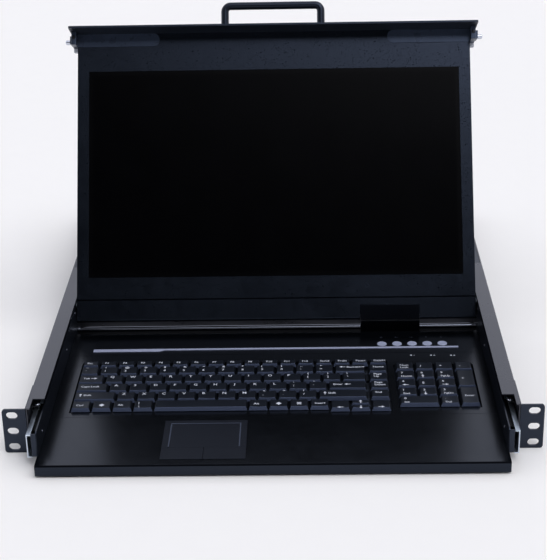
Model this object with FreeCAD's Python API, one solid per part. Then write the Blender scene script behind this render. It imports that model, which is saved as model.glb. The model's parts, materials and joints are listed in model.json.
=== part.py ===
"""Rack console drawer: a 1U chassis with a network keyboard-video-mouse switch behind a sliding tray.

Millimetres. X runs to the right, Y runs back from the front plane of the rack ears, Z is up. Pieces are
drawn from the floor of the chassis and saved with the origin at the centre of the rack-ear slots.
"""
import FreeCAD
import Part
import math
import os
from FreeCAD import Placement, Rotation, Vector

# Rack unit and ears
UNIT_HEIGHT = 44.0
EAR_SPAN = 482.6
EAR_WIDTH = 21.3
SLOT_INSET = 8.75
SLOT_PITCH = 15.875
SLOT_LENGTH = 10.3
SLOT_WIDTH = 7.0
EAR_THICKNESS = 2.0
EAR_LEG = 46.0
EAR_CORNER = 3.0

# Chassis sheet metal
CHASSIS_DEPTH = 560.0
SHEET = 1.2
COVER_GAP = 16.2
BULKHEAD_SETBACK = 3.0
FOLD = 10.0
NOTCH_LENGTH = 18.0
NOTCH_WIDTH = 10.7
VENT_COUNT = 7
VENT_PITCH = 12.0
VENT_WIDTH = 4.0
VENT_HEIGHT = 22.0
VENT_START = 365.0

# Slides: heights are half heights about the slide's middle line
SLIDE_SPACE = 11.1
SLIDE_Z = 19.5
SLIDE_SHEET = 1.2
SLIDE_INNER_HALF = 7.0
BALL_RADIUS = 1.5
BALL_CLEARANCE = 0.15
SLIDE_WEB_GAP = 0.5
SLIDE_FLANGE = 6.6
SLIDE_OUTER_FRONT = 22.0
SLIDE_OUTER_LENGTH = 278.0
SLIDE_MIDDLE_FRONT = -22.6
SLIDE_MIDDLE_LENGTH = 288.6
SLIDE_INNER_LENGTH = 250.0
CAGE_OUTER_FRONT = 82.0
CAGE_INNER_FRONT = 40.0
CAGE_LENGTH = 116.0
CAGE_SHEET = 0.8
CAGE_WIDTH = 3.9
BALLS_PER_STRIP = 2

# Tray, drawn pulled out by DRAWER_OUT from its closed place
DRAWER_OUT = 46.8
TRAY_RUN_GAP = 1.0
TRAY_WALL_FRONT = -28.0
TRAY_BEHIND_HINGE = 14.7
TRAY_WALL_TOP = 36.0
TRAY_WALL_CORNER = 4.0
DECK_TOP = 12.0
DECK_REAR = 215.5
DECK_GAP = 0.2
DECK_SEAM_Y = 166.9
DECK_SEAM_WIDTH = 0.6
DECK_SEAM_DEPTH = 0.4
LIP_FRONT = -44.0
LIP_BOTTOM = 1.8
LIP_BEND = 1.5
TIE_ROD_RADIUS = 2.8
TIE_ROD_BEFORE_HINGE = 5.9
TIE_ROD_Z = 10.0

# Screen, in its own frame: V up the screen and W out of its face, both from the hinge axis
SCREEN_TILT = 30.0
SCREEN_GAP = 1.5
FLANGE_GAP = 0.7
HINGE_BEHIND_DECK = 21.8
HINGE_Z = 35.6
HINGE_PIN_RADIUS = 3.0
HINGE_FIT = 0.05
HINGE_LOBE_RADIUS = 6.0
CLOSED_FACE_Z = 28.0
SCREEN_TOP_GAP = 1.0
GLASS_SIDE = 12.0
GLASS_HEIGHT = 217.2
GLASS_BOTTOM = 26.8
GLASS_GAP = 0.2
GLASS_RECESS = 0.25
GLASS_THICKNESS = 9.0
BEZEL_SHEET = 1.6
SHELL_SHEET = 1.0
SHELL_BOTTOM = -14.0
CREASE_V = 3.8
CREASE_WIDTH = 1.5
CREASE_DEPTH = 1.0
CHIN_BOTTOM = -18.7
CHIN_RETURN = 7.0
CHIN_BEND = 2.5

# Cable cover in the chin's notch, and the cable box on the tray below it
CABLE_INSET = 133.0
CABLE_WIDTH = 60.0
CABLE_SIDE_GAP = 0.6
CABLE_TOP = -4.2
CABLE_BOTTOM = -19.3
CABLE_PROUD = 0.8
CABLE_BOX_DEPTH = 11.0
CABLE_BOX_FRONT_TOP = 24.0
CABLE_BOX_REAR_TOP = 16.0

# Front panel, handle and latches at the top of the screen
FASCIA_INSET = 8.5
FASCIA_SHEET = 2.0
FASCIA_LIP_GAP = 2.6
FASCIA_BOTTOM_GAP = 1.0
FASCIA_CORNER = 2.0
HANDLE_WIDTH = 108.0
HANDLE_REACH = 28.4
HANDLE_BAR = 8.0
HANDLE_BEND = 6.0
HANDLE_SIDES = 12
LATCH_WIDTH = 9.4
LATCH_HEIGHT = 9.1
LATCH_CHAMFER = 1.5
LATCH_DEPTH = 9.0
LATCH_STRIP_LENGTH = 85.7
LATCH_STRIP_HEIGHT = 13.6
LATCH_STRIP_PROUD = 0.7
LATCH_STRIP_CORNER = 6.0
BOLT_RADIUS = 2.5
BOLT_FIT = 0.05
BOLT_BELOW_TOP = 5.7
BOLT_DEPTH = 10.5
BOLT_LENGTH = 20.6
BOLT_TIP_GAP = 0.8
BOLT_COLLAR_WIDTH = 6.4
BOLT_COLLAR_LENGTH = 2.0
STRIKE_WIDTH = 6.4

# Keyboard
KEYS_LEFT_MARGIN = 30.5
KEYS_RIGHT_MARGIN = 27.5
MAIN_UNITS = 14.621
NUMPAD_UNITS = 4
ROW_PITCH = 17.2
KEY_GAP = 0.9
KEY_LIFT = 0.3
KEY_HEIGHT = 3.8
KEY_SIDE_TAPER = 1.5
KEY_FRONT_TAPER = 1.1
KEY_BACK_TAPER = 2.1
KEY_DISH = 0.4
KEY_DISH_WIDEST = 28.0
KEYS_FRONT = 51.0
FUNCTION_DEPTH = 12.2
FUNCTION_COUNT = 17
TAB_UNITS = 1.363
CAPS_UNITS = 1.658
SHIFT_UNITS = 2.142
BOTTOM_KEY_UNITS = 1.021
SPACE_UNITS = 4.632
NAV_GAP = 2.0
ARROWS_FORWARD = 3.6
NUMPAD_GAP = 7.2
NUMPAD_BACK = 3.6
KEY_WINDOW_GAP = 0.8
TONGUE_WIDTH = 8.0
TONGUE_THICKNESS = 3.4
TONGUE_DEPTH = 4.7
TONGUE_GAP = 0.3
BASE_DROP = 2.8
GROOVE_FLOOR = 1.2

# Display controls behind the keyboard
FILM_INSET = 37.2
FILM_FRONT = 179.2
FILM_DEPTH = 32.5
FILM_THICKNESS = 0.6
TRIM_DEPTH = 3.0
TRIM_WIDE_DEPTH = 5.4
TRIM_WIDE_LENGTH = 67.0
TRIM_STEP = 4.0
TRIM_THICKNESS = 0.9
CONTROL_COUNT = 5
CONTROL_INSET = 15.3
CONTROL_PITCH = 15.15
CONTROL_Y = 185.2
CONTROL_RADIUS = 4.85
CONTROL_PROUD = 1.2
CONTROL_GAP = 0.3
CONTROL_COLLAR = 0.9
CONTROL_COLLAR_HEIGHT = 1.0

# Touchpad
PAD_FROM_KEYS = 90.7
PAD_WIDTH = 75.3
PAD_FRONT = -34.6
PAD_DEPTH = 68.2
PAD_PROUD = 0.4
PAD_GAP = 0.3
PAD_BUTTON_DEPTH = 20.0
PAD_BUTTON_THICKNESS = 2.2
PAD_SHELF_GAP = 0.9
PAD_SHELF = 1.2
PAD_FRAME_INSET = 5.5
PAD_FRAME_WIDTH = 1.2
PAD_FRAME_HEIGHT = 0.4
PAD_FLANGE = 3.5

# Rear connectors, X as seen from the front
JACK_WIDTH = 11.8
JACK_HEIGHT = 7.0
JACK_LATCH_WIDTH = 6.0
JACK_LATCH_HEIGHT = 2.6
JACK_DEPTH = 14.0
JACK_WALL = 1.0
JACK_BODY_DEPTH = 21.0
PORT_COLUMNS = 4
PORT_COLUMN_PITCH = 15.5
PORT_BLOCK_INSET = 63.8
PORT_HEIGHT = 24.6
PAIR_WIDTH = 16.7
NETWORK_FROM_INLET = 110.8
SERIAL_FROM_INLET = 89.4
CONNECTOR_PROUD = 0.5
CUTOUT_GAP = 0.25
BOARD_Z = 8.8
BOARD_SHEET = 1.6
BOARD_FROM_INLET = 30.3
BOARD_INSET = 14.0
BOARD_DEPTH = 155.0
BOARD_REAR_GAP = 4.0
USB_COUNT = 4
USB_FROM_INLET = 71.1
USB_PITCH = 11.55
USB_WIDTH = 7.0
USB_HEIGHT = 14.5
USB_Z = 12.4
USB_WALL = 0.6
USB_DEPTH = 14.0
USB_TONGUE = 2.0
VGA_FROM_INLET = 53.0
VGA_Z = 35.8
VGA_WIDTH = 17.6
VGA_HEIGHT = 9.0
VGA_SLOPE = 1.4
VGA_CORNER = 1.8
VGA_REACH = 6.0
VGA_WALL = 0.6
VGA_FLANGE_WIDTH = 31.0
VGA_FLANGE_HEIGHT = 12.4
VGA_FLANGE_SHEET = 0.8
VGA_BODY_DEPTH = 12.0
VGA_FOLD_ROOM = 6.0
VGA_SCREW_SPAN = 25.0
VGA_SCREW_FLATS = 5.0
VGA_SCREW_LENGTH = 5.0
INLET_INSET = 42.7
INLET_Z = 24.6
INLET_WIDTH = 30.4
INLET_HEIGHT = 25.4
INLET_FLANGE = 2.5
INLET_DEPTH = 20.0
INLET_BODY_INSET = 1.5
SOCKET_FROM_INLET = 4.9
SOCKET_WIDTH = 15.5
SOCKET_HEIGHT = 22.4
SOCKET_CHAMFER = 4.0
SOCKET_DEPTH = 16.0
PIN_WIDTH = 2.0
PIN_HEIGHT = 4.0
PIN_LENGTH = 11.0
PIN_SPREAD = 7.0
PIN_OFFSET = 2.2
ROCKER_FROM_INLET = -8.6
ROCKER_WIDTH = 8.0
ROCKER_HALF = 9.2
ROCKER_GAP = 0.4
ROCKER_WELL_DEPTH = 12.0
ROCKER_LEAN = 8.0
ROCKER_PROUD = 3.0
ROCKER_DIP = 1.4
ROCKER_BACK = 4.0
ROCKER_BACK_HALF = 5.52
ROCKER_PIVOT_RADIUS = 1.2
ROCKER_PIVOT_LENGTH = 0.5
ROCKER_FIT = 0.05

# Inside the rear bay
SUPPLY_INSET = 8.0
SUPPLY_WIDTH = 60.0
SUPPLY_FROM_REAR = 160.0
SUPPLY_DEPTH = 120.0
SUPPLY_HEIGHT = 36.0
SUPPLY_SLOTS = 6
HEATSINK_FROM_BOARD = 187.0
HEATSINK_FROM_REAR = 105.0
HEATSINK_SIZE = 38.0
HEATSINK_BASE = 3.0
HEATSINK_FINS = 7
HEATSINK_FIN = 1.6
HEATSINK_HEIGHT = 14.0
STANDOFF_FLATS = 5.5
CABLE_SLOT_WIDTH = 60.0
CABLE_SLOT_HEIGHT = 14.0
CABLE_SLOT_Z = 8.0

# How far a cut runs past the piece, and how close an edge lies to the place it is picked by
OVERCUT = 1.0
NEAR = 0.01

# Planes worked out from the sizes above
CHASSIS_WIDTH = EAR_SPAN - 2 * EAR_WIDTH
HALF = CHASSIS_WIDTH / 2
WALL_IN = HALF - SHEET
TRAY_OUT = WALL_IN - SLIDE_SPACE
TRAY_IN = TRAY_OUT - SHEET
SCREEN_HALF = TRAY_IN - SCREEN_GAP
GLASS_WIDTH = 2 * (SCREEN_HALF - GLASS_SIDE)
FASCIA_WIDTH = CHASSIS_WIDTH - 2 * FASCIA_INSET
FLANGE_IN = SCREEN_HALF + FLANGE_GAP
PAN_FRONT = EAR_THICKNESS
PANEL_Y = CHASSIS_DEPTH - SHEET
ROOF_Z = UNIT_HEIGHT - SHEET
SLOT_Z = UNIT_HEIGHT / 2
HINGE_Y = DECK_REAR + HINGE_BEHIND_DECK
TIE_ROD_Y = HINGE_Y - TIE_ROD_BEFORE_HINGE
TRAY_REAR = HINGE_Y + TRAY_BEHIND_HINGE
COVER_FRONT = TRAY_REAR + DRAWER_OUT + COVER_GAP
BULKHEAD_Y = COVER_FRONT + BULKHEAD_SETBACK
TRAY_FLOOR = SHEET + TRAY_RUN_GAP
TRAY_FLOOR_TOP = TRAY_FLOOR + SHEET
DECK_BOTTOM = DECK_TOP - SHEET
BASE_TOP = DECK_TOP - BASE_DROP
KEY_BOTTOM = DECK_TOP + KEY_LIFT
KEY_TOP = DECK_TOP + KEY_HEIGHT + KEY_LIFT
BOARD_TOP = BOARD_Z + BOARD_SHEET
PORT_FACE_Y = CHASSIS_DEPTH + CONNECTOR_PROUD
MIDDLE_HALF = SLIDE_INNER_HALF + 2 * (BALL_RADIUS + BALL_CLEARANCE) + SLIDE_SHEET
OUTER_HALF = MIDDLE_HALF + 2 * (BALL_RADIUS + BALL_CLEARANCE) + SLIDE_SHEET
FACE_W = HINGE_Z - CLOSED_FACE_Z
BACK_W = HINGE_Z - (UNIT_HEIGHT - SCREEN_TOP_GAP)
TOP_V = HINGE_Y - LIP_FRONT + FASCIA_LIP_GAP
FASCIA_TIP_W = HINGE_Z - FASCIA_BOTTOM_GAP
FASCIA_BACK_W = BACK_W - SCREEN_TOP_GAP / 2
BOLT_V = TOP_V - BOLT_BELOW_TOP
BOLT_W = FACE_W - BOLT_DEPTH
BOLT_TIP = WALL_IN + BOLT_TIP_GAP
BOLT_CLOSED_Y = HINGE_Y - BOLT_V + DRAWER_OUT
BOLT_CLOSED_Z = HINGE_Z - BOLT_W
KEY_FIELD = CHASSIS_WIDTH - KEYS_LEFT_MARGIN - KEYS_RIGHT_MARGIN
KEY_PITCH = (KEY_FIELD - NAV_GAP - NUMPAD_GAP) / (MAIN_UNITS + 1 + NUMPAD_UNITS)
KEYS_LEFT = KEYS_LEFT_MARGIN - HALF
KEYS_RIGHT = KEYS_LEFT + MAIN_UNITS * KEY_PITCH
BOTTOM_KEY_WIDTH = BOTTOM_KEY_UNITS * KEY_PITCH
SPACE_WIDTH = SPACE_UNITS * KEY_PITCH
KEYS_NAV_LEFT = KEYS_RIGHT + NAV_GAP
KEYS_NAV_RIGHT = KEYS_NAV_LEFT + KEY_PITCH
FUNCTION_FRONT = KEYS_FRONT + 5 * ROW_PITCH
NUMPAD_FRONT = KEYS_FRONT + NUMPAD_BACK
NUMPAD_LEFT = KEYS_NAV_RIGHT + NUMPAD_GAP
NUMPAD_RIGHT = NUMPAD_LEFT + NUMPAD_UNITS * KEY_PITCH
ARROWS_FRONT = KEYS_FRONT - ARROWS_FORWARD
ARROWS_LEFT = KEYS_NAV_RIGHT - 3 * KEY_PITCH
PAD_BUTTON_BACK = PAD_FRONT + PAD_BUTTON_DEPTH
PAD_LEFT = KEYS_LEFT + PAD_FROM_KEYS
PAD_RIGHT = PAD_LEFT + PAD_WIDTH
PAD_BACK = PAD_FRONT + PAD_DEPTH
PAD_TOP = DECK_TOP + PAD_PROUD
CABLE_LEFT = HALF - CABLE_INSET
CABLE_RIGHT = CABLE_LEFT + CABLE_WIDTH
FILM_WIDTH = CHASSIS_WIDTH - 2 * FILM_INSET
CONTROL_FIRST_X = FILM_WIDTH / 2 - CONTROL_INSET - (CONTROL_COUNT - 1) * CONTROL_PITCH
PORT_BLOCK_X = HALF - PORT_BLOCK_INSET
INLET_X = INLET_INSET - HALF
SOCKET_X = INLET_X + SOCKET_FROM_INLET
ROCKER_X = INLET_X + ROCKER_FROM_INLET
NETWORK_X = INLET_X + NETWORK_FROM_INLET
SERIAL_X = INLET_X + SERIAL_FROM_INLET
USB_FIRST_X = INLET_X + USB_FROM_INLET
VGA_X = INLET_X + VGA_FROM_INLET
BOARD_LEFT = INLET_X + BOARD_FROM_INLET
BOARD_RIGHT = HALF - BOARD_INSET
BOARD_FRONT = CHASSIS_DEPTH - BOARD_DEPTH
SUPPLY_LEFT = SUPPLY_INSET - HALF
SUPPLY_FRONT = CHASSIS_DEPTH - SUPPLY_FROM_REAR
HEATSINK_X = BOARD_LEFT + HEATSINK_FROM_BOARD
HEATSINK_Y = CHASSIS_DEPTH - HEATSINK_FROM_REAR

AXIS_X = Vector(1, 0, 0)
AXIS_Y = Vector(0, 1, 0)
AXIS_Z = Vector(0, 0, 1)


def box(x, y, z):
    """Solid block between the two limits given on each axis."""
    return Part.makeBox(x[1] - x[0], y[1] - y[0], z[1] - z[0], Vector(x[0], y[0], z[0]))


def span(start, length):
    """Limits of a stretch that starts at a place and has a length."""
    return (start, start + length)


def around(centre, size):
    """Limits of a stretch centred on a place."""
    return (centre - size / 2, centre + size / 2)


def grown(limits, gap):
    """Limits moved outwards by a gap at both ends."""
    return (limits[0] - gap, limits[1] + gap)


def prism(points, direction):
    """Solid swept from a closed flat outline along a vector."""
    wire = Part.makePolygon(points + points[:1])
    return Part.Face(wire).extrude(direction)


def rounded(shape, radius, axis):
    """Shape with every straight edge along one axis rounded."""
    edges = []
    for edge in shape.Edges:
        if isinstance(edge.Curve, Part.Line) and abs(edge.tangentAt(edge.FirstParameter).dot(axis)) > 0.999:
            edges.append(edge)
    return shape.makeFillet(radius, edges)


def fused(shapes):
    """One solid made of several that touch or cross."""
    whole = shapes[0]
    if len(shapes) > 1:
        whole = whole.fuse(shapes[1:])
    return whole.removeSplitter()


def mirrored(shape):
    """Copy on the other side of the middle plane."""
    return shape.mirror(Vector(0, 0, 0), AXIS_X)


def pair(shape):
    """A piece and its copy on the other side."""
    return Part.makeCompound([shape, mirrored(shape)])


def on_screen(shape):
    """Move a piece drawn as (X, V, W) on to the open screen."""
    frame = Placement(Vector(0, HINGE_Y, HINGE_Z), Rotation(AXIS_X, 90 - SCREEN_TILT))
    shape.Placement = frame * shape.Placement
    return shape


def save(name, shape):
    """Write one node, with the origin moved to the centre of the rack-ear slots."""
    placed = shape.copy()
    placed.translate(Vector(0, 0, -SLOT_Z))
    placed.exportStep(os.path.join("parts", name + ".step"))


def regular_outline(sides, flats, centre, axis):
    """Corners of a figure with equal sides, square to an axis."""
    first = AXIS_X if abs(axis.x) < 0.5 else AXIS_Y
    second = axis.cross(first)
    reach = flats / 2 / math.cos(math.pi / sides)
    points = []
    for step in range(sides):
        turn = 2 * math.pi * (step + 0.5) / sides
        points.append(centre + (first * math.cos(turn) + second * math.sin(turn)) * reach)
    return points


def regular_bar(sides, flats, start, axis, length):
    """Bar with equal flat sides, from a point along an axis."""
    return prism(regular_outline(sides, flats, start, axis), axis * length)


# Chassis

def chassis_pan():
    """Floor, side walls with vents and strikes for the bolts, and top flanges notched for the latches."""
    floor = box((-HALF, HALF), (PAN_FRONT, CHASSIS_DEPTH), (0, SHEET))
    wall = box((WALL_IN, HALF), (PAN_FRONT, CHASSIS_DEPTH), (0, UNIT_HEIGHT))
    flange = box((FLANGE_IN, HALF), (PAN_FRONT, COVER_FRONT), (ROOF_Z, UNIT_HEIGHT))
    notch = box((FLANGE_IN - OVERCUT, FLANGE_IN + NOTCH_WIDTH), (PAN_FRONT - OVERCUT, PAN_FRONT + NOTCH_LENGTH),
                grown((ROOF_Z, UNIT_HEIGHT), OVERCUT))
    side = wall.fuse(flange.cut(notch))
    through = grown((WALL_IN, HALF), OVERCUT)
    cuts = [box(through, around(BOLT_CLOSED_Y, STRIKE_WIDTH), around(BOLT_CLOSED_Z, STRIKE_WIDTH))]
    for index in range(VENT_COUNT):
        slot = span(VENT_START + index * VENT_PITCH, VENT_WIDTH)
        cuts.append(box(through, slot, around(SLOT_Z, VENT_HEIGHT)))
    side = side.cut(cuts)
    return fused([floor, side, mirrored(side)])


def rack_ears():
    """Angle brackets on the side walls, with slots for the rack rails."""
    plate = box((HALF, EAR_SPAN / 2), (0, EAR_THICKNESS), (0, UNIT_HEIGHT))
    corners = [edge for edge in plate.Edges if edge.CenterOfMass.x > EAR_SPAN / 2 - NEAR
               and abs(edge.tangentAt(0).y) > 0.9]
    plate = plate.makeFillet(EAR_CORNER, corners)
    leg = box(span(HALF, EAR_THICKNESS), (0, EAR_LEG), (0, UNIT_HEIGHT))
    ear = fused([plate, leg])
    slots = []
    for step in (-1, 0, 1):
        centre = Vector(EAR_SPAN / 2 - SLOT_INSET, 0, SLOT_Z + step * SLOT_PITCH)
        flat = SLOT_LENGTH - SLOT_WIDTH
        slot = box(around(centre.x, flat), grown((0, EAR_THICKNESS), OVERCUT), around(centre.z, SLOT_WIDTH))
        for side in (-1, 1):
            start = centre + Vector(side * flat / 2, -OVERCUT, 0)
            slot = slot.fuse(Part.makeCylinder(SLOT_WIDTH / 2, EAR_THICKNESS + 2 * OVERCUT, start, AXIS_Y))
        slots.append(slot.removeSplitter())
    return pair(ear.cut(slots))


def jack_columns():
    """Middle X of each column of the switch's jack block."""
    first = PORT_BLOCK_X - (PORT_COLUMNS - 1) * PORT_COLUMN_PITCH / 2
    return [first + index * PORT_COLUMN_PITCH for index in range(PORT_COLUMNS)]


def connector_openings():
    """Outlines of the rear connectors as (X limits, Z limits)."""
    width = PORT_COLUMNS * PORT_COLUMN_PITCH
    outlines = [(around(PORT_BLOCK_X, width), span(BOARD_TOP, PORT_HEIGHT))]
    for place in (NETWORK_X, SERIAL_X):
        outlines.append((around(place, PAIR_WIDTH), span(BOARD_TOP, PORT_HEIGHT)))
    for index in range(USB_COUNT):
        outlines.append((around(USB_FIRST_X - index * USB_PITCH, USB_WIDTH), span(USB_Z, USB_HEIGHT)))
    outlines.append((around(VGA_X, VGA_WIDTH), around(VGA_Z, VGA_HEIGHT)))
    outlines.append((around(INLET_X, INLET_WIDTH - 2 * INLET_BODY_INSET),
                     around(INLET_Z, INLET_HEIGHT - 2 * INLET_BODY_INSET)))
    return outlines


def rear_panel():
    """Back wall with a cut-out for each connector and folds on the floor and under the cover."""
    width = (-WALL_IN + CUTOUT_GAP, WALL_IN - CUTOUT_GAP)
    wall = box(width, (PANEL_Y, CHASSIS_DEPTH), (SHEET, ROOF_Z))
    top = box(width, (PANEL_Y - FOLD, PANEL_Y), (ROOF_Z - SHEET, ROOF_Z))
    bottom = box(width, (PANEL_Y - FOLD, PANEL_Y), (SHEET, 2 * SHEET))
    through = grown((PANEL_Y, CHASSIS_DEPTH), OVERCUT)
    cuts = []
    for x, z in connector_openings():
        cuts.append(box(grown(x, CUTOUT_GAP), through, grown(z, CUTOUT_GAP)))
    cuts.append(box(grown(around(VGA_X, VGA_WIDTH), VGA_FOLD_ROOM), (PANEL_Y - FOLD - OVERCUT, PANEL_Y),
                    grown((ROOF_Z - SHEET, ROOF_Z), OVERCUT)))
    return fused([wall, top, bottom]).cut(cuts)


def rear_cover():
    """Lid over the electronics, with a stiffening fold at its front edge."""
    width = (-WALL_IN + CUTOUT_GAP, WALL_IN - CUTOUT_GAP)
    lid = box(width, (COVER_FRONT, CHASSIS_DEPTH), (ROOF_Z, UNIT_HEIGHT))
    fold = box(width, span(COVER_FRONT, SHEET), (ROOF_Z - FOLD / 2, ROOF_Z))
    return fused([lid, fold])


def bulkhead():
    """Wall between the drawer's bay and the electronics, with a slot for the cables."""
    width = (-WALL_IN + CUTOUT_GAP, WALL_IN - CUTOUT_GAP)
    wall = box(width, span(BULKHEAD_Y, SHEET), (SHEET, ROOF_Z))
    top = box(width, span(BULKHEAD_Y, FOLD), (ROOF_Z - SHEET, ROOF_Z))
    bottom = box(width, span(BULKHEAD_Y, FOLD), (SHEET, 2 * SHEET))
    slot = box(around(CABLE_LEFT, CABLE_SLOT_WIDTH), grown(span(BULKHEAD_Y, SHEET), OVERCUT),
               span(CABLE_SLOT_Z, CABLE_SLOT_HEIGHT))
    return fused([wall, top, bottom]).cut(slot)


def main_board():
    """Switch board on standoffs, with a finned heatsink on its processor."""
    rear = PANEL_Y - BOARD_REAR_GAP
    board = box((BOARD_LEFT, BOARD_RIGHT), (BOARD_FRONT, rear), (BOARD_Z, BOARD_TOP))
    pieces = [board]
    for x in (BOARD_LEFT + FOLD, (BOARD_LEFT + BOARD_RIGHT) / 2, BOARD_RIGHT - FOLD):
        for y in (BOARD_FRONT + FOLD, rear - 2 * FOLD):
            pieces.append(regular_bar(6, STANDOFF_FLATS, Vector(x, y, SHEET), AXIS_Z, BOARD_Z - SHEET))
    footprint = (around(HEATSINK_X, HEATSINK_SIZE), around(HEATSINK_Y, HEATSINK_SIZE))
    pieces.append(box(footprint[0], footprint[1], span(BOARD_TOP, HEATSINK_BASE)))
    pitch = (HEATSINK_SIZE - HEATSINK_FIN) / (HEATSINK_FINS - 1)
    for index in range(HEATSINK_FINS):
        fin = span(footprint[0][0] + index * pitch, HEATSINK_FIN)
        pieces.append(box(fin, footprint[1], span(BOARD_TOP, HEATSINK_HEIGHT)))
    return fused(pieces)


def power_supply():
    """Closed supply can with cooling slots across its lid."""
    can = box(span(SUPPLY_LEFT, SUPPLY_WIDTH), span(SUPPLY_FRONT, SUPPLY_DEPTH), span(SHEET, SUPPLY_HEIGHT))
    lid = SHEET + SUPPLY_HEIGHT
    pitch = SUPPLY_DEPTH / (SUPPLY_SLOTS + 1)
    slots = []
    for index in range(1, SUPPLY_SLOTS + 1):
        slots.append(box(grown(span(SUPPLY_LEFT, SUPPLY_WIDTH), -FOLD),
                         around(SUPPLY_FRONT + index * pitch, VENT_WIDTH),
                         (lid - SHEET, lid + OVERCUT)))
    return can.cut(slots)


def jack_cavity(x, z, latch_up):
    """Space inside one modular jack, with the latch's step above or below."""
    mouth = PORT_FACE_Y + OVERCUT
    back = PORT_FACE_Y - JACK_DEPTH
    body = box(around(x, JACK_WIDTH), (back, mouth), around(z, JACK_HEIGHT))
    edge = z + (1 if latch_up else -1) * (JACK_HEIGHT + JACK_LATCH_HEIGHT) / 2
    step = box(around(x, JACK_LATCH_WIDTH), (back, mouth), around(edge, JACK_LATCH_HEIGHT))
    return body.fuse(step)


def jack_block(columns, width, centre):
    """Two rows of modular jacks in one shield, latches to the outside."""
    depth = (PORT_FACE_Y - JACK_BODY_DEPTH, PORT_FACE_Y)
    body = box(around(centre, width), depth, span(BOARD_TOP, PORT_HEIGHT))
    inset = JACK_WALL + JACK_LATCH_HEIGHT + JACK_HEIGHT / 2
    cavities = []
    for x in columns:
        cavities.append(jack_cavity(x, BOARD_TOP + PORT_HEIGHT - inset, True))
        cavities.append(jack_cavity(x, BOARD_TOP + inset, False))
    return body.cut(cavities)


def usb_ports():
    """Upright USB sockets: open shells with a contact tongue and a rear body on the board."""
    ports = []
    for index in range(USB_COUNT):
        x = USB_FIRST_X - index * USB_PITCH
        back = PORT_FACE_Y - USB_DEPTH
        shell = box(around(x, USB_WIDTH), (back, PORT_FACE_Y), span(USB_Z, USB_HEIGHT))
        hollow = box(grown(around(x, USB_WIDTH), -USB_WALL), (back, PORT_FACE_Y + OVERCUT),
                     grown(span(USB_Z, USB_HEIGHT), -USB_WALL))
        tongue = box(around(x + USB_WIDTH / 4, USB_TONGUE), (back - SHEET, PORT_FACE_Y - 2 * USB_WALL),
                     grown(span(USB_Z, USB_HEIGHT), -2 * USB_WALL))
        body = box(around(x, USB_WIDTH), span(back - 2 * SHEET, 2 * SHEET), (BOARD_TOP, USB_Z + USB_HEIGHT))
        ports.append(fused([shell.cut(hollow), tongue, body]))
    return Part.makeCompound(ports)


def d_outline(shrink, y, reach):
    """D-shaped connector body, wider along its upper edge."""
    half = VGA_WIDTH / 2 - shrink
    top = VGA_Z + VGA_HEIGHT / 2 - shrink
    low = VGA_Z - VGA_HEIGHT / 2 + shrink
    points = [Vector(VGA_X - half, y, top), Vector(VGA_X + half, y, top),
              Vector(VGA_X + half - VGA_SLOPE, y, low), Vector(VGA_X - half + VGA_SLOPE, y, low)]
    return rounded(prism(points, Vector(0, reach, 0)), VGA_CORNER, AXIS_Y)


def vga_port():
    """Video socket's shell and flange, with its two screw posts."""
    flange = box(around(VGA_X, VGA_FLANGE_WIDTH), span(CHASSIS_DEPTH, VGA_FLANGE_SHEET),
                 around(VGA_Z, VGA_FLANGE_HEIGHT))
    face = CHASSIS_DEPTH + VGA_FLANGE_SHEET
    opening = d_outline(VGA_WALL, CHASSIS_DEPTH - OVERCUT, VGA_REACH + 2 * OVERCUT)
    pieces = [flange.cut(opening), d_outline(0, CHASSIS_DEPTH, VGA_REACH).cut(opening)]
    for side in (-1, 1):
        place = Vector(VGA_X + side * VGA_SCREW_SPAN / 2, face, VGA_Z)
        pieces.append(regular_bar(6, VGA_SCREW_FLATS, place, AXIS_Y, VGA_SCREW_LENGTH))
    return fused(pieces)


def vga_insert():
    """Insulator inside the video socket, and its body behind the panel."""
    inset = VGA_WALL + CUTOUT_GAP
    plug = d_outline(inset, PANEL_Y - SHEET, VGA_REACH + SHEET)
    depth = (PANEL_Y - VGA_BODY_DEPTH, PANEL_Y - SHEET)
    body = box(around(VGA_X, VGA_WIDTH), depth, around(VGA_Z, VGA_HEIGHT))
    return fused([plug, body])


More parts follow.
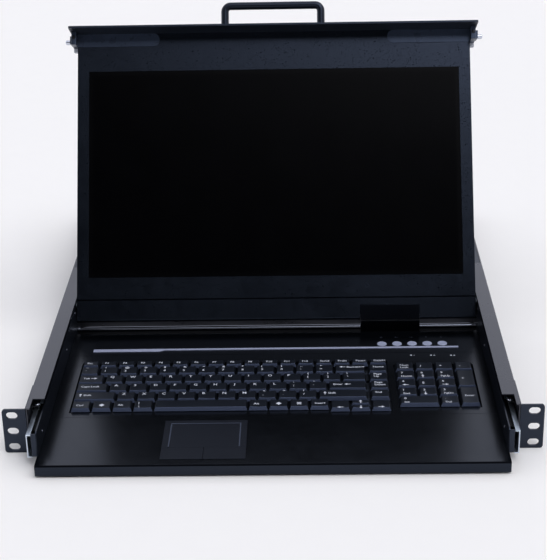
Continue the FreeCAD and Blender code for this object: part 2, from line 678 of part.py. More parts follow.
def power_inlet():
    """Panel-mounted inlet and switch housing: flange, body, socket and rocker well."""
    flange = rounded(box(around(INLET_X, INLET_WIDTH), span(CHASSIS_DEPTH, INLET_FLANGE),
                         around(INLET_Z, INLET_HEIGHT)), INLET_FLANGE, AXIS_Y)
    body = box(around(INLET_X, INLET_WIDTH - 2 * INLET_BODY_INSET),
               (CHASSIS_DEPTH - INLET_DEPTH, CHASSIS_DEPTH),
               around(INLET_Z, INLET_HEIGHT - 2 * INLET_BODY_INSET))
    face = CHASSIS_DEPTH + INLET_FLANGE
    half_w = SOCKET_WIDTH / 2
    half_h = SOCKET_HEIGHT / 2
    start = face - SOCKET_DEPTH
    outline = [(-half_w, -half_h), (half_w - SOCKET_CHAMFER, -half_h), (half_w, SOCKET_CHAMFER - half_h),
               (half_w, half_h - SOCKET_CHAMFER), (half_w - SOCKET_CHAMFER, half_h), (-half_w, half_h)]
    points = [Vector(SOCKET_X + x, start, INLET_Z + z) for x, z in outline]
    socket = prism(points, Vector(0, SOCKET_DEPTH + OVERCUT, 0))
    well = box(around(ROCKER_X, ROCKER_WIDTH + 2 * ROCKER_GAP), (face - ROCKER_WELL_DEPTH, face + OVERCUT),
               around(INLET_Z, 2 * (ROCKER_HALF + 2 * ROCKER_GAP)))
    bore = Part.makeCylinder(ROCKER_PIVOT_RADIUS + ROCKER_FIT,
                             ROCKER_WIDTH + 2 * ROCKER_GAP + 2 * ROCKER_PIVOT_LENGTH,
                             Vector(ROCKER_X - ROCKER_WIDTH / 2 - ROCKER_GAP - ROCKER_PIVOT_LENGTH,
                                    face - ROCKER_DIP, INLET_Z), AXIS_X)
    return fused([flange, body]).cut([socket, well, bore])


def inlet_pins():
    """Three blades that stand on the floor of the power socket."""
    floor = CHASSIS_DEPTH + INLET_FLANGE - SOCKET_DEPTH
    places = ((-PIN_OFFSET, PIN_SPREAD), (-PIN_OFFSET, -PIN_SPREAD), (PIN_OFFSET, 0))
    blades = []
    for x, z in places:
        blades.append(box(around(SOCKET_X + x, PIN_HEIGHT), span(floor, PIN_LENGTH),
                          around(INLET_Z + z, PIN_WIDTH)))
    return Part.makeCompound(blades)


def rocker_switch():
    """Rocker with a dished face, leaning to its off side on a pivot across the well."""
    pivot_y = CHASSIS_DEPTH + INLET_FLANGE - ROCKER_DIP
    outline = [(-ROCKER_BACK, -ROCKER_BACK_HALF), (ROCKER_PROUD, -ROCKER_HALF),
               (ROCKER_PROUD - ROCKER_DIP, 0), (ROCKER_PROUD, ROCKER_HALF), (-ROCKER_BACK, ROCKER_BACK_HALF)]
    points = [Vector(ROCKER_X - ROCKER_WIDTH / 2, pivot_y + y, INLET_Z + z) for y, z in outline]
    paddle = prism(points, Vector(ROCKER_WIDTH, 0, 0))
    reach = ROCKER_GAP + ROCKER_PIVOT_LENGTH
    pin_start = Vector(ROCKER_X - ROCKER_WIDTH / 2 - reach + ROCKER_GAP / 2, pivot_y, INLET_Z)
    pin = Part.makeCylinder(ROCKER_PIVOT_RADIUS, ROCKER_WIDTH + 2 * reach - ROCKER_GAP, pin_start, AXIS_X)
    rocker = fused([paddle, pin])
    rocker.rotate(Vector(ROCKER_X, pivot_y, INLET_Z), AXIS_X, -ROCKER_LEAN)
    return rocker


# Slides, drawn for the right side

def channel(web, tip, half, start, length):
    """Folded channel about the slide's middle line, with its web at one X and its edges at another."""
    step = SLIDE_SHEET if tip > web else -SLIDE_SHEET
    outline = [(web, -half), (tip, -half), (tip, SLIDE_SHEET - half), (web + step, SLIDE_SHEET - half),
               (web + step, half - SLIDE_SHEET), (tip, half - SLIDE_SHEET), (tip, half), (web, half)]
    points = [Vector(x, start, SLIDE_Z + z) for x, z in outline]
    return prism(points, Vector(0, length, 0))


def slide_outer():
    """Member on the chassis wall, open towards the tray."""
    tip = WALL_IN - SLIDE_FLANGE - SLIDE_WEB_GAP
    return channel(WALL_IN, tip, OUTER_HALF, SLIDE_OUTER_FRONT, SLIDE_OUTER_LENGTH)


def slide_middle():
    """Member that runs at half the drawer's travel."""
    web = WALL_IN - SLIDE_SHEET - SLIDE_WEB_GAP
    return channel(web, web - SLIDE_FLANGE, MIDDLE_HALF, SLIDE_MIDDLE_FRONT, SLIDE_MIDDLE_LENGTH)


def slide_inner():
    """Member on the tray wall, open towards the chassis."""
    tip = WALL_IN - 2 * (SLIDE_SHEET + SLIDE_WEB_GAP) - SLIDE_WEB_GAP
    return channel(TRAY_OUT, tip, SLIDE_INNER_HALF, TRAY_WALL_FRONT, SLIDE_INNER_LENGTH)


def ball(place):
    """Bearing ball in flat facets, where three eight-sided bars cross."""
    size = 2 * BALL_RADIUS
    bars = []
    for axis in (AXIS_X, AXIS_Y, AXIS_Z):
        bars.append(regular_bar(8, size, place - axis * BALL_RADIUS, axis, size))
    return bars[0].common(bars[1]).common(bars[2])


def ball_cage(inner_half, x, start):
    """Two perforated strips, above and below a member, each holding balls."""
    middle = inner_half + BALL_RADIUS + BALL_CLEARANCE
    pieces = []
    for side in (-1, 1):
        z = SLIDE_Z + side * middle
        strip = box(around(x, CAGE_WIDTH), span(start, CAGE_LENGTH), around(z, CAGE_SHEET))
        pitch = CAGE_LENGTH / BALLS_PER_STRIP
        for index in range(BALLS_PER_STRIP):
            place = Vector(x, start + (index + 0.5) * pitch, z)
            pocket = 2 * (BALL_RADIUS + BALL_CLEARANCE)
            strip = strip.cut(box(around(x, pocket), around(place.y, pocket), around(z, pocket)))
            pieces.append(ball(place))
        pieces.append(strip)
    return Part.makeCompound(pieces)


def cage_x():
    """Middle of the ball tracks, on the middle member's flanges."""
    web = WALL_IN - SLIDE_SHEET - SLIDE_WEB_GAP
    return web - (SLIDE_SHEET + SLIDE_FLANGE) / 2


# Drawer

def tray_pan():
    """Tray floor and side walls, with round lobes that carry the screen's hinge pins."""
    floor = box((-TRAY_OUT, TRAY_OUT), (LIP_FRONT + SHEET, TRAY_REAR), (TRAY_FLOOR, TRAY_FLOOR_TOP))
    wall = box((TRAY_IN, TRAY_OUT), (TRAY_WALL_FRONT, TRAY_REAR), (TRAY_FLOOR, TRAY_WALL_TOP))
    corners = [edge for edge in wall.Edges if edge.CenterOfMass.z > TRAY_WALL_TOP - NEAR
               and abs(edge.tangentAt(0).x) > 0.9]
    wall = wall.makeFillet(TRAY_WALL_CORNER, corners)
    axis_start = Vector(TRAY_IN, HINGE_Y, HINGE_Z)
    lobe = Part.makeCylinder(HINGE_LOBE_RADIUS, SHEET, axis_start, AXIS_X)
    bore = Part.makeCylinder(HINGE_PIN_RADIUS + HINGE_FIT, SHEET + 2 * OVERCUT, axis_start - AXIS_X * OVERCUT,
                             AXIS_X)
    side = wall.fuse(lobe).cut(bore)
    return fused([floor, side, mirrored(side)])


def key_windows(gap, z):
    """Blocks that cover the main key field, the arrow keys and the number pad."""
    back = FUNCTION_FRONT + FUNCTION_DEPTH
    main = box(grown((KEYS_LEFT, KEYS_NAV_RIGHT), gap), grown((KEYS_FRONT, back), gap), z)
    arrows = box(grown((ARROWS_LEFT, KEYS_NAV_RIGHT), gap), (ARROWS_FRONT - gap, KEYS_FRONT + ROW_PITCH), z)
    pad = box(grown((NUMPAD_LEFT, NUMPAD_RIGHT), gap), grown(span(NUMPAD_FRONT, 5 * ROW_PITCH), gap), z)
    return [main.fuse(arrows), pad]


def control_places():
    """Middle of each display-control button on the deck's top plane."""
    first = Vector(CONTROL_FIRST_X, CONTROL_Y, DECK_TOP)
    return [first + AXIS_X * (index * CONTROL_PITCH) for index in range(CONTROL_COUNT)]


def control_cylinder(place, radius, low, high):
    """Upright cylinder on a control's axis, with heights counted from the deck's top."""
    return Part.makeCylinder(radius, high - low, place + AXIS_Z * low, AXIS_Z)


def keyboard_deck():
    """Deck with a folded front lip and side skirts, open for the keys, touchpad and controls."""
    side = TRAY_IN - DECK_GAP
    top = box((-side, side), (LIP_FRONT + SHEET, DECK_REAR), (DECK_BOTTOM, DECK_TOP))
    shoulder = box((-TRAY_OUT, TRAY_OUT), (LIP_FRONT, TRAY_WALL_FRONT - DECK_GAP), (DECK_BOTTOM, DECK_TOP))
    lip = box((-TRAY_OUT, TRAY_OUT), span(LIP_FRONT, SHEET), (LIP_BOTTOM, DECK_TOP))
    skirt = box((side - SHEET, side), (TRAY_WALL_FRONT, DECK_REAR), (TRAY_FLOOR_TOP, DECK_TOP))
    deck = fused([top, shoulder, lip, skirt, mirrored(skirt)])
    bend = [edge for edge in deck.Edges if abs(edge.CenterOfMass.y - LIP_FRONT) < NEAR
            and abs(edge.CenterOfMass.z - DECK_TOP) < NEAR]
    deck = deck.makeFillet(LIP_BEND, bend)
    through = grown((DECK_BOTTOM, DECK_TOP), OVERCUT)
    cuts = key_windows(KEY_WINDOW_GAP, through)
    cuts.append(box(grown((PAD_LEFT, PAD_RIGHT), PAD_GAP), grown((PAD_FRONT, PAD_BACK), PAD_GAP), through))
    reach = CONTROL_RADIUS + CONTROL_GAP
    row = grown((CONTROL_FIRST_X, control_places()[-1].x), reach)
    cuts.append(box(row, around(CONTROL_Y, 2 * reach), through))
    seam = box(grown((-side, side), OVERCUT), around(DECK_SEAM_Y, DECK_SEAM_WIDTH),
               (DECK_TOP - DECK_SEAM_DEPTH, DECK_TOP + OVERCUT))
    return deck.cut(cuts + [seam])


def osd_overlay():
    """Film over the display controls."""
    film = box(around(0, FILM_WIDTH), span(FILM_FRONT, FILM_DEPTH), span(DECK_TOP, FILM_THICKNESS))
    hole = CONTROL_RADIUS + CONTROL_GAP
    return film.cut([control_cylinder(place, hole, -OVERCUT, OVERCUT) for place in control_places()])


def osd_trim():
    """Bright strip along the film's front edge, broader at its left end."""
    left = -FILM_WIDTH / 2
    right = FILM_WIDTH / 2
    broad = left + TRIM_WIDE_LENGTH
    outline = [(left, FILM_FRONT), (right, FILM_FRONT), (right, FILM_FRONT - TRIM_DEPTH),
               (broad + TRIM_STEP, FILM_FRONT - TRIM_DEPTH), (broad, FILM_FRONT - TRIM_WIDE_DEPTH),
               (left, FILM_FRONT - TRIM_WIDE_DEPTH)]
    points = [Vector(x, y, DECK_TOP) for x, y in outline]
    return prism(points, Vector(0, 0, TRIM_THICKNESS))


def osd_button(place):
    """Round button with a square collar that holds it under the deck."""
    cap = control_cylinder(place, CONTROL_RADIUS, -SHEET - CONTROL_GAP, CONTROL_PROUD)
    width = 2 * (CONTROL_RADIUS + CONTROL_COLLAR)
    collar_top = DECK_BOTTOM - CONTROL_GAP
    collar_z = (collar_top - CONTROL_COLLAR_HEIGHT, collar_top)
    collar = box(around(place.x, width), around(place.y, width), collar_z)
    return fused([cap, collar])


def keyboard_base():
    """Base under the keys, with a guide groove along each row of keys."""
    low = (TRAY_FLOOR_TOP, BASE_TOP)
    field = box((KEYS_LEFT, NUMPAD_RIGHT), (ARROWS_FRONT, FUNCTION_FRONT + FUNCTION_DEPTH), low)
    groove_z = (TRAY_FLOOR_TOP + GROOVE_FLOOR, BASE_TOP + OVERCUT)
    width = TONGUE_THICKNESS + 2 * TONGUE_GAP
    grooves = []
    numpad_end = NUMPAD_RIGHT - KEY_GAP
    for row in range(5):
        middle = KEYS_FRONT + (row + 0.5) * ROW_PITCH
        right = KEYS_NAV_RIGHT if row else ARROWS_LEFT
        grooves.append(box((KEYS_LEFT + KEY_GAP, right), around(middle, width), groove_z))
        grooves.append(box((NUMPAD_LEFT, numpad_end), around(middle + NUMPAD_BACK, width), groove_z))
    function = FUNCTION_FRONT + FUNCTION_DEPTH / 2
    grooves.append(box((KEYS_LEFT + KEY_GAP, KEYS_NAV_RIGHT), around(function, width), groove_z))
    for tall in (1, 3):
        middle = NUMPAD_FRONT + tall * ROW_PITCH
        grooves.append(box((NUMPAD_RIGHT - KEY_PITCH, numpad_end), around(middle, width), groove_z))
    for column, quarters in ((0, (2,)), (1, (1, 3)), (2, (2,))):
        cell = grown(span(ARROWS_LEFT + column * KEY_PITCH, KEY_PITCH), -KEY_GAP)
        for quarter in quarters:
            grooves.append(box(cell, around(ARROWS_FRONT + quarter * ROW_PITCH / 4, width), groove_z))
    return field.cut(grooves)


def keycap(x, y):
    """Tapered keycap over its grid cell, with a dished top and a guide tongue below."""
    x = grown(x, -KEY_GAP / 2)
    y = grown(y, -KEY_GAP / 2)
    top_x = grown(x, -KEY_SIDE_TAPER)
    top_y = (y[0] + KEY_FRONT_TAPER, y[1] - KEY_BACK_TAPER)
    cap = Part.makeWedge(x[0], KEY_BOTTOM, -y[1], -top_y[1], top_x[0],
                         x[1], KEY_TOP, -y[0], -top_y[0], top_x[1])
    cap.rotate(Vector(0, 0, 0), AXIS_X, 90)
    width = top_x[1] - top_x[0]
    centre_x = (x[0] + x[1]) / 2
    centre_y = (y[0] + y[1]) / 2
    if width < KEY_DISH_WIDEST:
        floor = KEY_TOP - KEY_DISH
        dish = [(-width / 2, KEY_TOP), (-width / 4, floor), (width / 4, floor), (width / 2, KEY_TOP)]
        points = [Vector(centre_x + offset, y[0] - OVERCUT, z) for offset, z in dish]
        cap = cap.cut(prism(points, Vector(0, y[1] - y[0] + 2 * OVERCUT, 0)))
    tongue = box(around(centre_x, TONGUE_WIDTH), around(centre_y, TONGUE_THICKNESS),
                 (KEY_BOTTOM - TONGUE_DEPTH, KEY_BOTTOM))
    return fused([cap, tongue])


def key_row(row, widths, left=KEYS_LEFT):
    """Row of keycaps side by side, counted from the front row."""
    y = span(KEYS_FRONT + row * ROW_PITCH, ROW_PITCH)
    caps = []
    for width in widths:
        caps.append(keycap(span(left, width), y))
        left += width
    return caps


def filled(first, count):
    """Widths of a row: its first key, equal keys, and a last key that fills the row."""
    used = first + count * KEY_PITCH
    return [first] + [KEY_PITCH] * count + [KEYS_RIGHT - KEYS_LEFT - used]


def function_keys():
    """Shallow keys along the back of the main field."""
    width = (KEYS_NAV_RIGHT - KEYS_LEFT) / FUNCTION_COUNT
    y = span(FUNCTION_FRONT, FUNCTION_DEPTH)
    return [keycap(span(KEYS_LEFT + index * width, width), y) for index in range(FUNCTION_COUNT)]


def navigation_keys():
    """Column of four keys at the right of the main field, and the four arrow keys."""
    column = span(KEYS_NAV_LEFT, KEY_PITCH)
    caps = []
    for row in range(1, 5):
        caps.append(keycap(column, span(KEYS_FRONT + row * ROW_PITCH, ROW_PITCH)))
    full = span(ARROWS_FRONT, ROW_PITCH)
    middle = ARROWS_FRONT + ROW_PITCH / 2
    caps.append(keycap(span(ARROWS_LEFT, KEY_PITCH), full))
    between = span(ARROWS_LEFT + KEY_PITCH, KEY_PITCH)
    caps.append(keycap(between, (ARROWS_FRONT, middle)))
    caps.append(keycap(between, (middle, ARROWS_FRONT + ROW_PITCH)))
    caps.append(keycap(span(ARROWS_LEFT + 2 * KEY_PITCH, KEY_PITCH), full))
    return caps


def number_pad():
    """Number keys, with two tall keys at the right and a double key at the front."""
    def cell(column, row, wide=1, tall=1):
        return keycap(span(NUMPAD_LEFT + column * KEY_PITCH, wide * KEY_PITCH),
                      span(NUMPAD_FRONT + row * ROW_PITCH, tall * ROW_PITCH))
    caps = [cell(0, 0, wide=2), cell(2, 0), cell(3, 0, tall=2), cell(3, 2, tall=2), cell(3, 4)]
    for row in range(1, 5):
        for column in range(3):
            caps.append(cell(column, row))
    return caps


def bottom_keys():
    """Keys left and right of the space bar."""
    left_keys = key_row(0, [BOTTOM_KEY_WIDTH] * 4)
    start = KEYS_LEFT + 4 * BOTTOM_KEY_WIDTH + SPACE_WIDTH
    return left_keys + key_row(0, [KEY_PITCH] * 4, start)


def space_bar():
    """Long bar with a guide tongue."""
    return key_row(0, [SPACE_WIDTH], KEYS_LEFT + 4 * BOTTOM_KEY_WIDTH)[0]


def touchpad():
    """Pad plate with a raised line frame, a flange under the deck and a shelf under its buttons."""
    low = PAD_TOP - PAD_BUTTON_THICKNESS - PAD_SHELF_GAP
    plate_front = PAD_BUTTON_BACK + PAD_GAP
    plate = box((PAD_LEFT, PAD_RIGHT), (plate_front, PAD_BACK), (low, PAD_TOP))
    shelf = box((PAD_LEFT, PAD_RIGHT), (PAD_FRONT, PAD_BACK), (low - PAD_SHELF, low))
    flange = box(grown((PAD_LEFT, PAD_RIGHT), PAD_FLANGE), (plate_front, PAD_BACK), (low, DECK_BOTTOM))
    inner = grown((PAD_LEFT, PAD_RIGHT), -PAD_FRAME_INSET)
    ridge_z = span(PAD_TOP, PAD_FRAME_HEIGHT)
    top = PAD_BACK - PAD_FRAME_INSET
    frame = box(inner, (plate_front, top), ridge_z)
    inside = box(grown(inner, -PAD_FRAME_WIDTH), (plate_front - OVERCUT, top - PAD_FRAME_WIDTH),
                 grown(ridge_z, OVERCUT))
    return fused([plate, shelf, flange, frame.cut(inside)])


def pad_button(side):
    """One of the two buttons along the pad's front edge."""
    middle = (PAD_LEFT + PAD_RIGHT) / 2
    x = (PAD_LEFT, middle - PAD_GAP / 2)
    if side > 0:
        x = (middle + PAD_GAP / 2, PAD_RIGHT)
    return box(x, (PAD_FRONT, PAD_BUTTON_BACK), (PAD_TOP - PAD_BUTTON_THICKNESS, PAD_TOP))


def tie_rod():
    """Round bar between the tray walls, in front of the hinge."""
    return Part.makeCylinder(TIE_ROD_RADIUS, 2 * TRAY_IN, Vector(-TRAY_IN, TIE_ROD_Y, TIE_ROD_Z), AXIS_X)


def cable_box():
    """Duct on the tray floor that brings the screen's cables up behind the deck."""
    front = DECK_REAR + DECK_GAP
    outline = [(front, TRAY_FLOOR_TOP), (front + CABLE_BOX_DEPTH, TRAY_FLOOR_TOP),
               (front + CABLE_BOX_DEPTH, CABLE_BOX_REAR_TOP), (front, CABLE_BOX_FRONT_TOP)]
    points = [Vector(CABLE_LEFT, y, z) for y, z in outline]
    return prism(points, Vector(CABLE_WIDTH, 0, 0))


# Screen

def screen_shell():
    """Rear tray of the screen, with hinge blocks inside its lower corners and windows for the bolts."""
    front = FACE_W - BEZEL_SHEET
    body = box((-SCREEN_HALF, SCREEN_HALF), (SHELL_BOTTOM, TOP_V), (BACK_W, front))
    hollow = box(grown((-SCREEN_HALF, SCREEN_HALF), -SHELL_SHEET), grown((SHELL_BOTTOM, TOP_V), -SHELL_SHEET),
                 (BACK_W + SHELL_SHEET, front + OVERCUT))
    shell = body.cut(hollow)
    block_x = (SCREEN_HALF - SHELL_SHEET - FOLD, SCREEN_HALF - SHELL_SHEET)
    block_w = (BACK_W + SHELL_SHEET, HINGE_PIN_RADIUS + SHELL_SHEET)
    block = box(block_x, around(0, 4 * HINGE_PIN_RADIUS), block_w)
    pin_bore = Part.makeCylinder(HINGE_PIN_RADIUS, FOLD + 2 * SHELL_SHEET, Vector(block_x[0], 0, 0), AXIS_X)
    bolt_width = 2 * (BOLT_RADIUS + CUTOUT_GAP)
    bolt_window = box(grown(span(block_x[1], SHELL_SHEET), OVERCUT), around(BOLT_V, bolt_width),
                      around(BOLT_W, bolt_width))
    shell = fused([shell, block, mirrored(block)])
    cuts = [pin_bore, bolt_window]
    return on_screen(shell.cut(cuts + [mirrored(cut) for cut in cuts]))


def screen_bezel():
    """Front plate with the panel window, a crease above the chin, the cable notch and a bent lower edge."""
    plate = box((-SCREEN_HALF, SCREEN_HALF), (CHIN_BOTTOM, TOP_V), (FACE_W - BEZEL_SHEET, FACE_W))
    fold = box((-SCREEN_HALF, SCREEN_HALF), span(CHIN_BOTTOM, BEZEL_SHEET), (FACE_W - CHIN_RETURN, FACE_W))
    bezel = fused([plate, fold])
    bend = [edge for edge in bezel.Edges if abs(edge.CenterOfMass.y - CHIN_BOTTOM) < NEAR
            and abs(edge.CenterOfMass.z - FACE_W) < NEAR]
    bezel = bezel.makeFillet(CHIN_BEND, bend)
    through = grown((FACE_W - BEZEL_SHEET, FACE_W), OVERCUT)
    window = box(around(0, GLASS_WIDTH), span(GLASS_BOTTOM, GLASS_HEIGHT), through)
    crease = box(grown((-SCREEN_HALF, SCREEN_HALF), OVERCUT), around(CREASE_V, CREASE_WIDTH),
                 (FACE_W - CREASE_DEPTH, FACE_W + OVERCUT))
    notch = box(grown((CABLE_LEFT, CABLE_RIGHT), CABLE_SIDE_GAP),
                (CHIN_BOTTOM - OVERCUT, CABLE_TOP + CABLE_SIDE_GAP),
                grown((FACE_W - CHIN_RETURN, FACE_W), OVERCUT))
    return on_screen(bezel.cut([window, crease, notch]))


def screen_glass():
    """Display panel with its front glass just below the bezel's face."""
    front = FACE_W - GLASS_RECESS
    height = grown(span(GLASS_BOTTOM, GLASS_HEIGHT), -GLASS_GAP)
    return on_screen(box(grown(around(0, GLASS_WIDTH), -GLASS_GAP), height, (front - GLASS_THICKNESS, front)))


def cable_cover():
    """Hooked cover over the cable's way into the screen, in the chin's notch."""
    seat = FACE_W - BEZEL_SHEET + DECK_GAP
    front = FACE_W + CABLE_PROUD
    under = SHELL_BOTTOM - DECK_GAP
    outline = [(CABLE_TOP, seat), (CABLE_TOP, front), (CABLE_BOTTOM, front), (CABLE_BOTTOM, BACK_W / 2),
               (under, BACK_W / 2), (under, seat)]
    points = [Vector(CABLE_LEFT, v, w) for v, w in outline]
    return on_screen(prism(points, Vector(CABLE_WIDTH, 0, 0)))


def hinge_pins():
    """Pins that carry the screen in the tray walls."""
    start = SCREEN_HALF - SHELL_SHEET - FOLD
    return on_screen(pair(Part.makeCylinder(HINGE_PIN_RADIUS, TRAY_OUT - start, Vector(start, 0, 0), AXIS_X)))


def fascia_panel():
    """Front panel of the closed drawer, square to the screen at its top edge."""
    plate = box(around(0, FASCIA_WIDTH), span(TOP_V, FASCIA_SHEET), (FASCIA_BACK_W, FASCIA_TIP_W))
    return on_screen(rounded(plate, FASCIA_CORNER, AXIS_Y))


def pull_handle():
    """Bent bar on the front panel: two legs, two bends and a grip."""
    foot = TOP_V + FASCIA_SHEET
    middle_w = (FASCIA_BACK_W + FASCIA_TIP_W) / 2
    leg_x = (HANDLE_WIDTH - HANDLE_BAR) / 2
    crest = foot + HANDLE_REACH - HANDLE_BAR / 2
    shoulder = crest - HANDLE_BEND
    leg = regular_bar(HANDLE_SIDES, HANDLE_BAR, Vector(leg_x, foot, middle_w), AXIS_Y, shoulder - foot)
    section = regular_outline(HANDLE_SIDES, HANDLE_BAR, Vector(leg_x, shoulder, middle_w), AXIS_Y)
    bend_centre = Vector(leg_x - HANDLE_BEND, shoulder, middle_w)
    bend = Part.Face(Part.makePolygon(section + section[:1])).revolve(bend_centre, AXIS_Z, 90)
    grip_start = Vector(HANDLE_BEND - leg_x, crest, middle_w)
    grip = regular_bar(HANDLE_SIDES, HANDLE_BAR, grip_start, AXIS_X, 2 * (leg_x - HANDLE_BEND))
    return on_screen(fused([leg, mirrored(leg), bend, mirrored(bend), grip]))


def latch_housings():
    """Latch blocks beside the screen's upper corners, and the strips that cover their rods."""
    top = TOP_V
    low = top - LATCH_HEIGHT
    outer = SCREEN_HALF + LATCH_WIDTH
    outline = [(SCREEN_HALF, top), (outer, top), (outer, low + LATCH_CHAMFER), (outer - LATCH_CHAMFER, low),
               (SCREEN_HALF, low)]
    points = [Vector(x, v, BACK_W) for x, v in outline]
    block = prism(points, Vector(0, 0, LATCH_DEPTH))
    bore_start = Vector(SCREEN_HALF - OVERCUT, BOLT_V, BOLT_W)
    block = block.cut(Part.makeCylinder(BOLT_RADIUS + BOLT_FIT, LATCH_WIDTH + 2 * OVERCUT, bore_start, AXIS_X))
    strip = box((SCREEN_HALF - LATCH_STRIP_LENGTH, SCREEN_HALF), (top - LATCH_STRIP_HEIGHT, top),
                span(FACE_W, LATCH_STRIP_PROUD))
    corner = [edge for edge in strip.Edges if abs(edge.tangentAt(0).z) > 0.9
              and edge.CenterOfMass.x < SCREEN_HALF - NEAR]
    strip = strip.makeFillet(LATCH_STRIP_CORNER, corner)
    return on_screen(Part.makeCompound([block, mirrored(block), strip, mirrored(strip)]))


def latch_bolt():
    """Sprung bolt with a tapered tip and an inner collar, drawn for the right side."""
    start = BOLT_TIP - BOLT_LENGTH
    shank = Part.makeCylinder(BOLT_RADIUS, BOLT_LENGTH, Vector(start, BOLT_V, BOLT_W), AXIS_X)
    tip = [edge for edge in shank.Edges if edge.CenterOfMass.x > BOLT_TIP - NEAR]
    shank = shank.makeChamfer(BOLT_RADIUS / 4, tip)
    collar = box(span(start, BOLT_COLLAR_LENGTH), around(BOLT_V, BOLT_COLLAR_WIDTH),
                 around(BOLT_W, BOLT_COLLAR_WIDTH))
    return fused([shank, collar])


def main():
    """Build every node and write its file."""
    os.makedirs("parts", exist_ok=True)
    nodes = {
        "chassis_pan": chassis_pan(),
        "rack_ears": rack_ears(),
        "rear_panel": rear_panel(),
        "rear_cover": rear_cover(),
        "bulkhead": bulkhead(),
        "main_board": main_board(),
        "power_supply": power_supply(),
        "kvm_port_block": jack_block(jack_columns(), PORT_COLUMNS * PORT_COLUMN_PITCH, PORT_BLOCK_X),
        "net_port_pairs": Part.makeCompound([jack_block([x], PAIR_WIDTH, x) for x in (NETWORK_X, SERIAL_X)]),
        "usb_ports": usb_ports(),
        "vga_port": vga_port(),
        "vga_insert": vga_insert(),
        "power_inlet": power_inlet(),
        "inlet_pins": inlet_pins(),
        "rocker_switch": rocker_switch(),
        "tray_pan": tray_pan(),
        "keyboard_deck": keyboard_deck(),
        "osd_overlay": osd_overlay(),
        "osd_trim": osd_trim(),
        "keyboard_base": keyboard_base(),
        "keys_function": Part.makeCompound(function_keys()),
        "keys_number": Part.makeCompound(key_row(4, filled(KEY_PITCH, 12))),
        "keys_upper": Part.makeCompound(key_row(3, filled(TAB_UNITS * KEY_PITCH, 12))),
        "keys_home": Part.makeCompound(key_row(2, filled(CAPS_UNITS * KEY_PITCH, 11))),
        "keys_lower": Part.makeCompound(key_row(1, filled(SHIFT_UNITS * KEY_PITCH, 10))),
        "keys_bottom": Part.makeCompound(bottom_keys()),
        "space_bar": space_bar(),
        "keys_nav": Part.makeCompound(navigation_keys()),
        "keys_numpad": Part.makeCompound(number_pad()),
        "touchpad": touchpad(),
        "pad_button_left": pad_button(-1),
        "pad_button_right": pad_button(1),
        "tie_rod": tie_rod(),
        "cable_box": cable_box(),
        "screen_shell": screen_shell(),
        "screen_bezel": screen_bezel(),
        "screen_glass": screen_glass(),
        "cable_cover": cable_cover(),
        "hinge_pins": hinge_pins(),
        "fascia_panel": fascia_panel(),
        "pull_handle": pull_handle(),
        "latch_housings": latch_housings(),
        "latch_bolt_right": on_screen(latch_bolt()),
        "latch_bolt_left": on_screen(mirrored(latch_bolt())),
    }
    for index, place in enumerate(control_places(), 1):
        nodes["osd_button_%d" % index] = osd_button(place)
    members = {
        "slide_outer": slide_outer(),
        "slide_middle": slide_middle(),
        "slide_inner": slide_inner(),
        "ball_cage_outer": ball_cage(MIDDLE_HALF, cage_x(), CAGE_OUTER_FRONT),
        "ball_cage_inner": ball_cage(SLIDE_INNER_HALF, cage_x(), CAGE_INNER_FRONT),
    }
    for name, shape in members.items():
        nodes[name + "_right"] = shape
        nodes[name + "_left"] = mirrored(shape)
    for name, shape in nodes.items():
        save(name, shape)


main()
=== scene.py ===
"""Looks of a rack console drawer: a one-unit chassis, a pull-out keyboard tray and a folding screen.

Sizes are in millimetres from the floor of the chassis, and become metres when a mesh is placed.
"""

import json
import logging
import math
from collections.abc import Callable, Iterable, Sequence
from dataclasses import dataclass, field
from enum import Enum
from functools import cache

import bmesh
import bpy
from mathutils import Matrix, Quaternion, Vector


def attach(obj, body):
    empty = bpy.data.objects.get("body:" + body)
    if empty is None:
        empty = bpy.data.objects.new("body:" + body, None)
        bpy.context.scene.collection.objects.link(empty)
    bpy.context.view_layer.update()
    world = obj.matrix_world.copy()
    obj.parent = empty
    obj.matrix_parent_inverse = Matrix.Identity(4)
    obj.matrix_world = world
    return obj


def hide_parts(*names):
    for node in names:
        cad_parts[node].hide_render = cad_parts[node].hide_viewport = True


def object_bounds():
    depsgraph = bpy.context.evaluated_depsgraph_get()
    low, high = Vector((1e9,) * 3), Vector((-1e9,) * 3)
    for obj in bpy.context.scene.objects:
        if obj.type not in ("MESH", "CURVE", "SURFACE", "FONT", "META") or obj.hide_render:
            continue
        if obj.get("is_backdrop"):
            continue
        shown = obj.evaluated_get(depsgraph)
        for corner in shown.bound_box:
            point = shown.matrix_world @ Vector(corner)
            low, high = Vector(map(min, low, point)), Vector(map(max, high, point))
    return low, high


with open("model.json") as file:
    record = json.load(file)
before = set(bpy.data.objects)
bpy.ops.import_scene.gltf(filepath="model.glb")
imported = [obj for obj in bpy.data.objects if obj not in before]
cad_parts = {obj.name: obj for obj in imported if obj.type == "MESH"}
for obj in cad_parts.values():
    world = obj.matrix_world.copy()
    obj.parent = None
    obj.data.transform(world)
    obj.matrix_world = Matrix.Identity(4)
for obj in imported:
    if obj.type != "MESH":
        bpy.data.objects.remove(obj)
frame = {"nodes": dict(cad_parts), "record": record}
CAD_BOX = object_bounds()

LOG = logging.getLogger("console_drawer")
MM = 0.001
ORIGIN_ABOVE_FLOOR = 22.0
SIDES = (-1, 1)
SIDE_NAMES = ("left", "right")
# Two measures this close count as the same.
NEAR = 0.1
# Corners this close are joined, faces this flat are merged and edges this sharp are eased.
WELD = 0.002
FLAT_DEGREES = 0.5
EASED_DEGREES = 40.0
BODY_OF = {node: body for body, nodes in frame["record"]["behaviour"]["bodies"].items() for node in nodes}
SLOT_OF = {part["node"]: part["material_slot"] for part in frame["record"]["subparts"]}

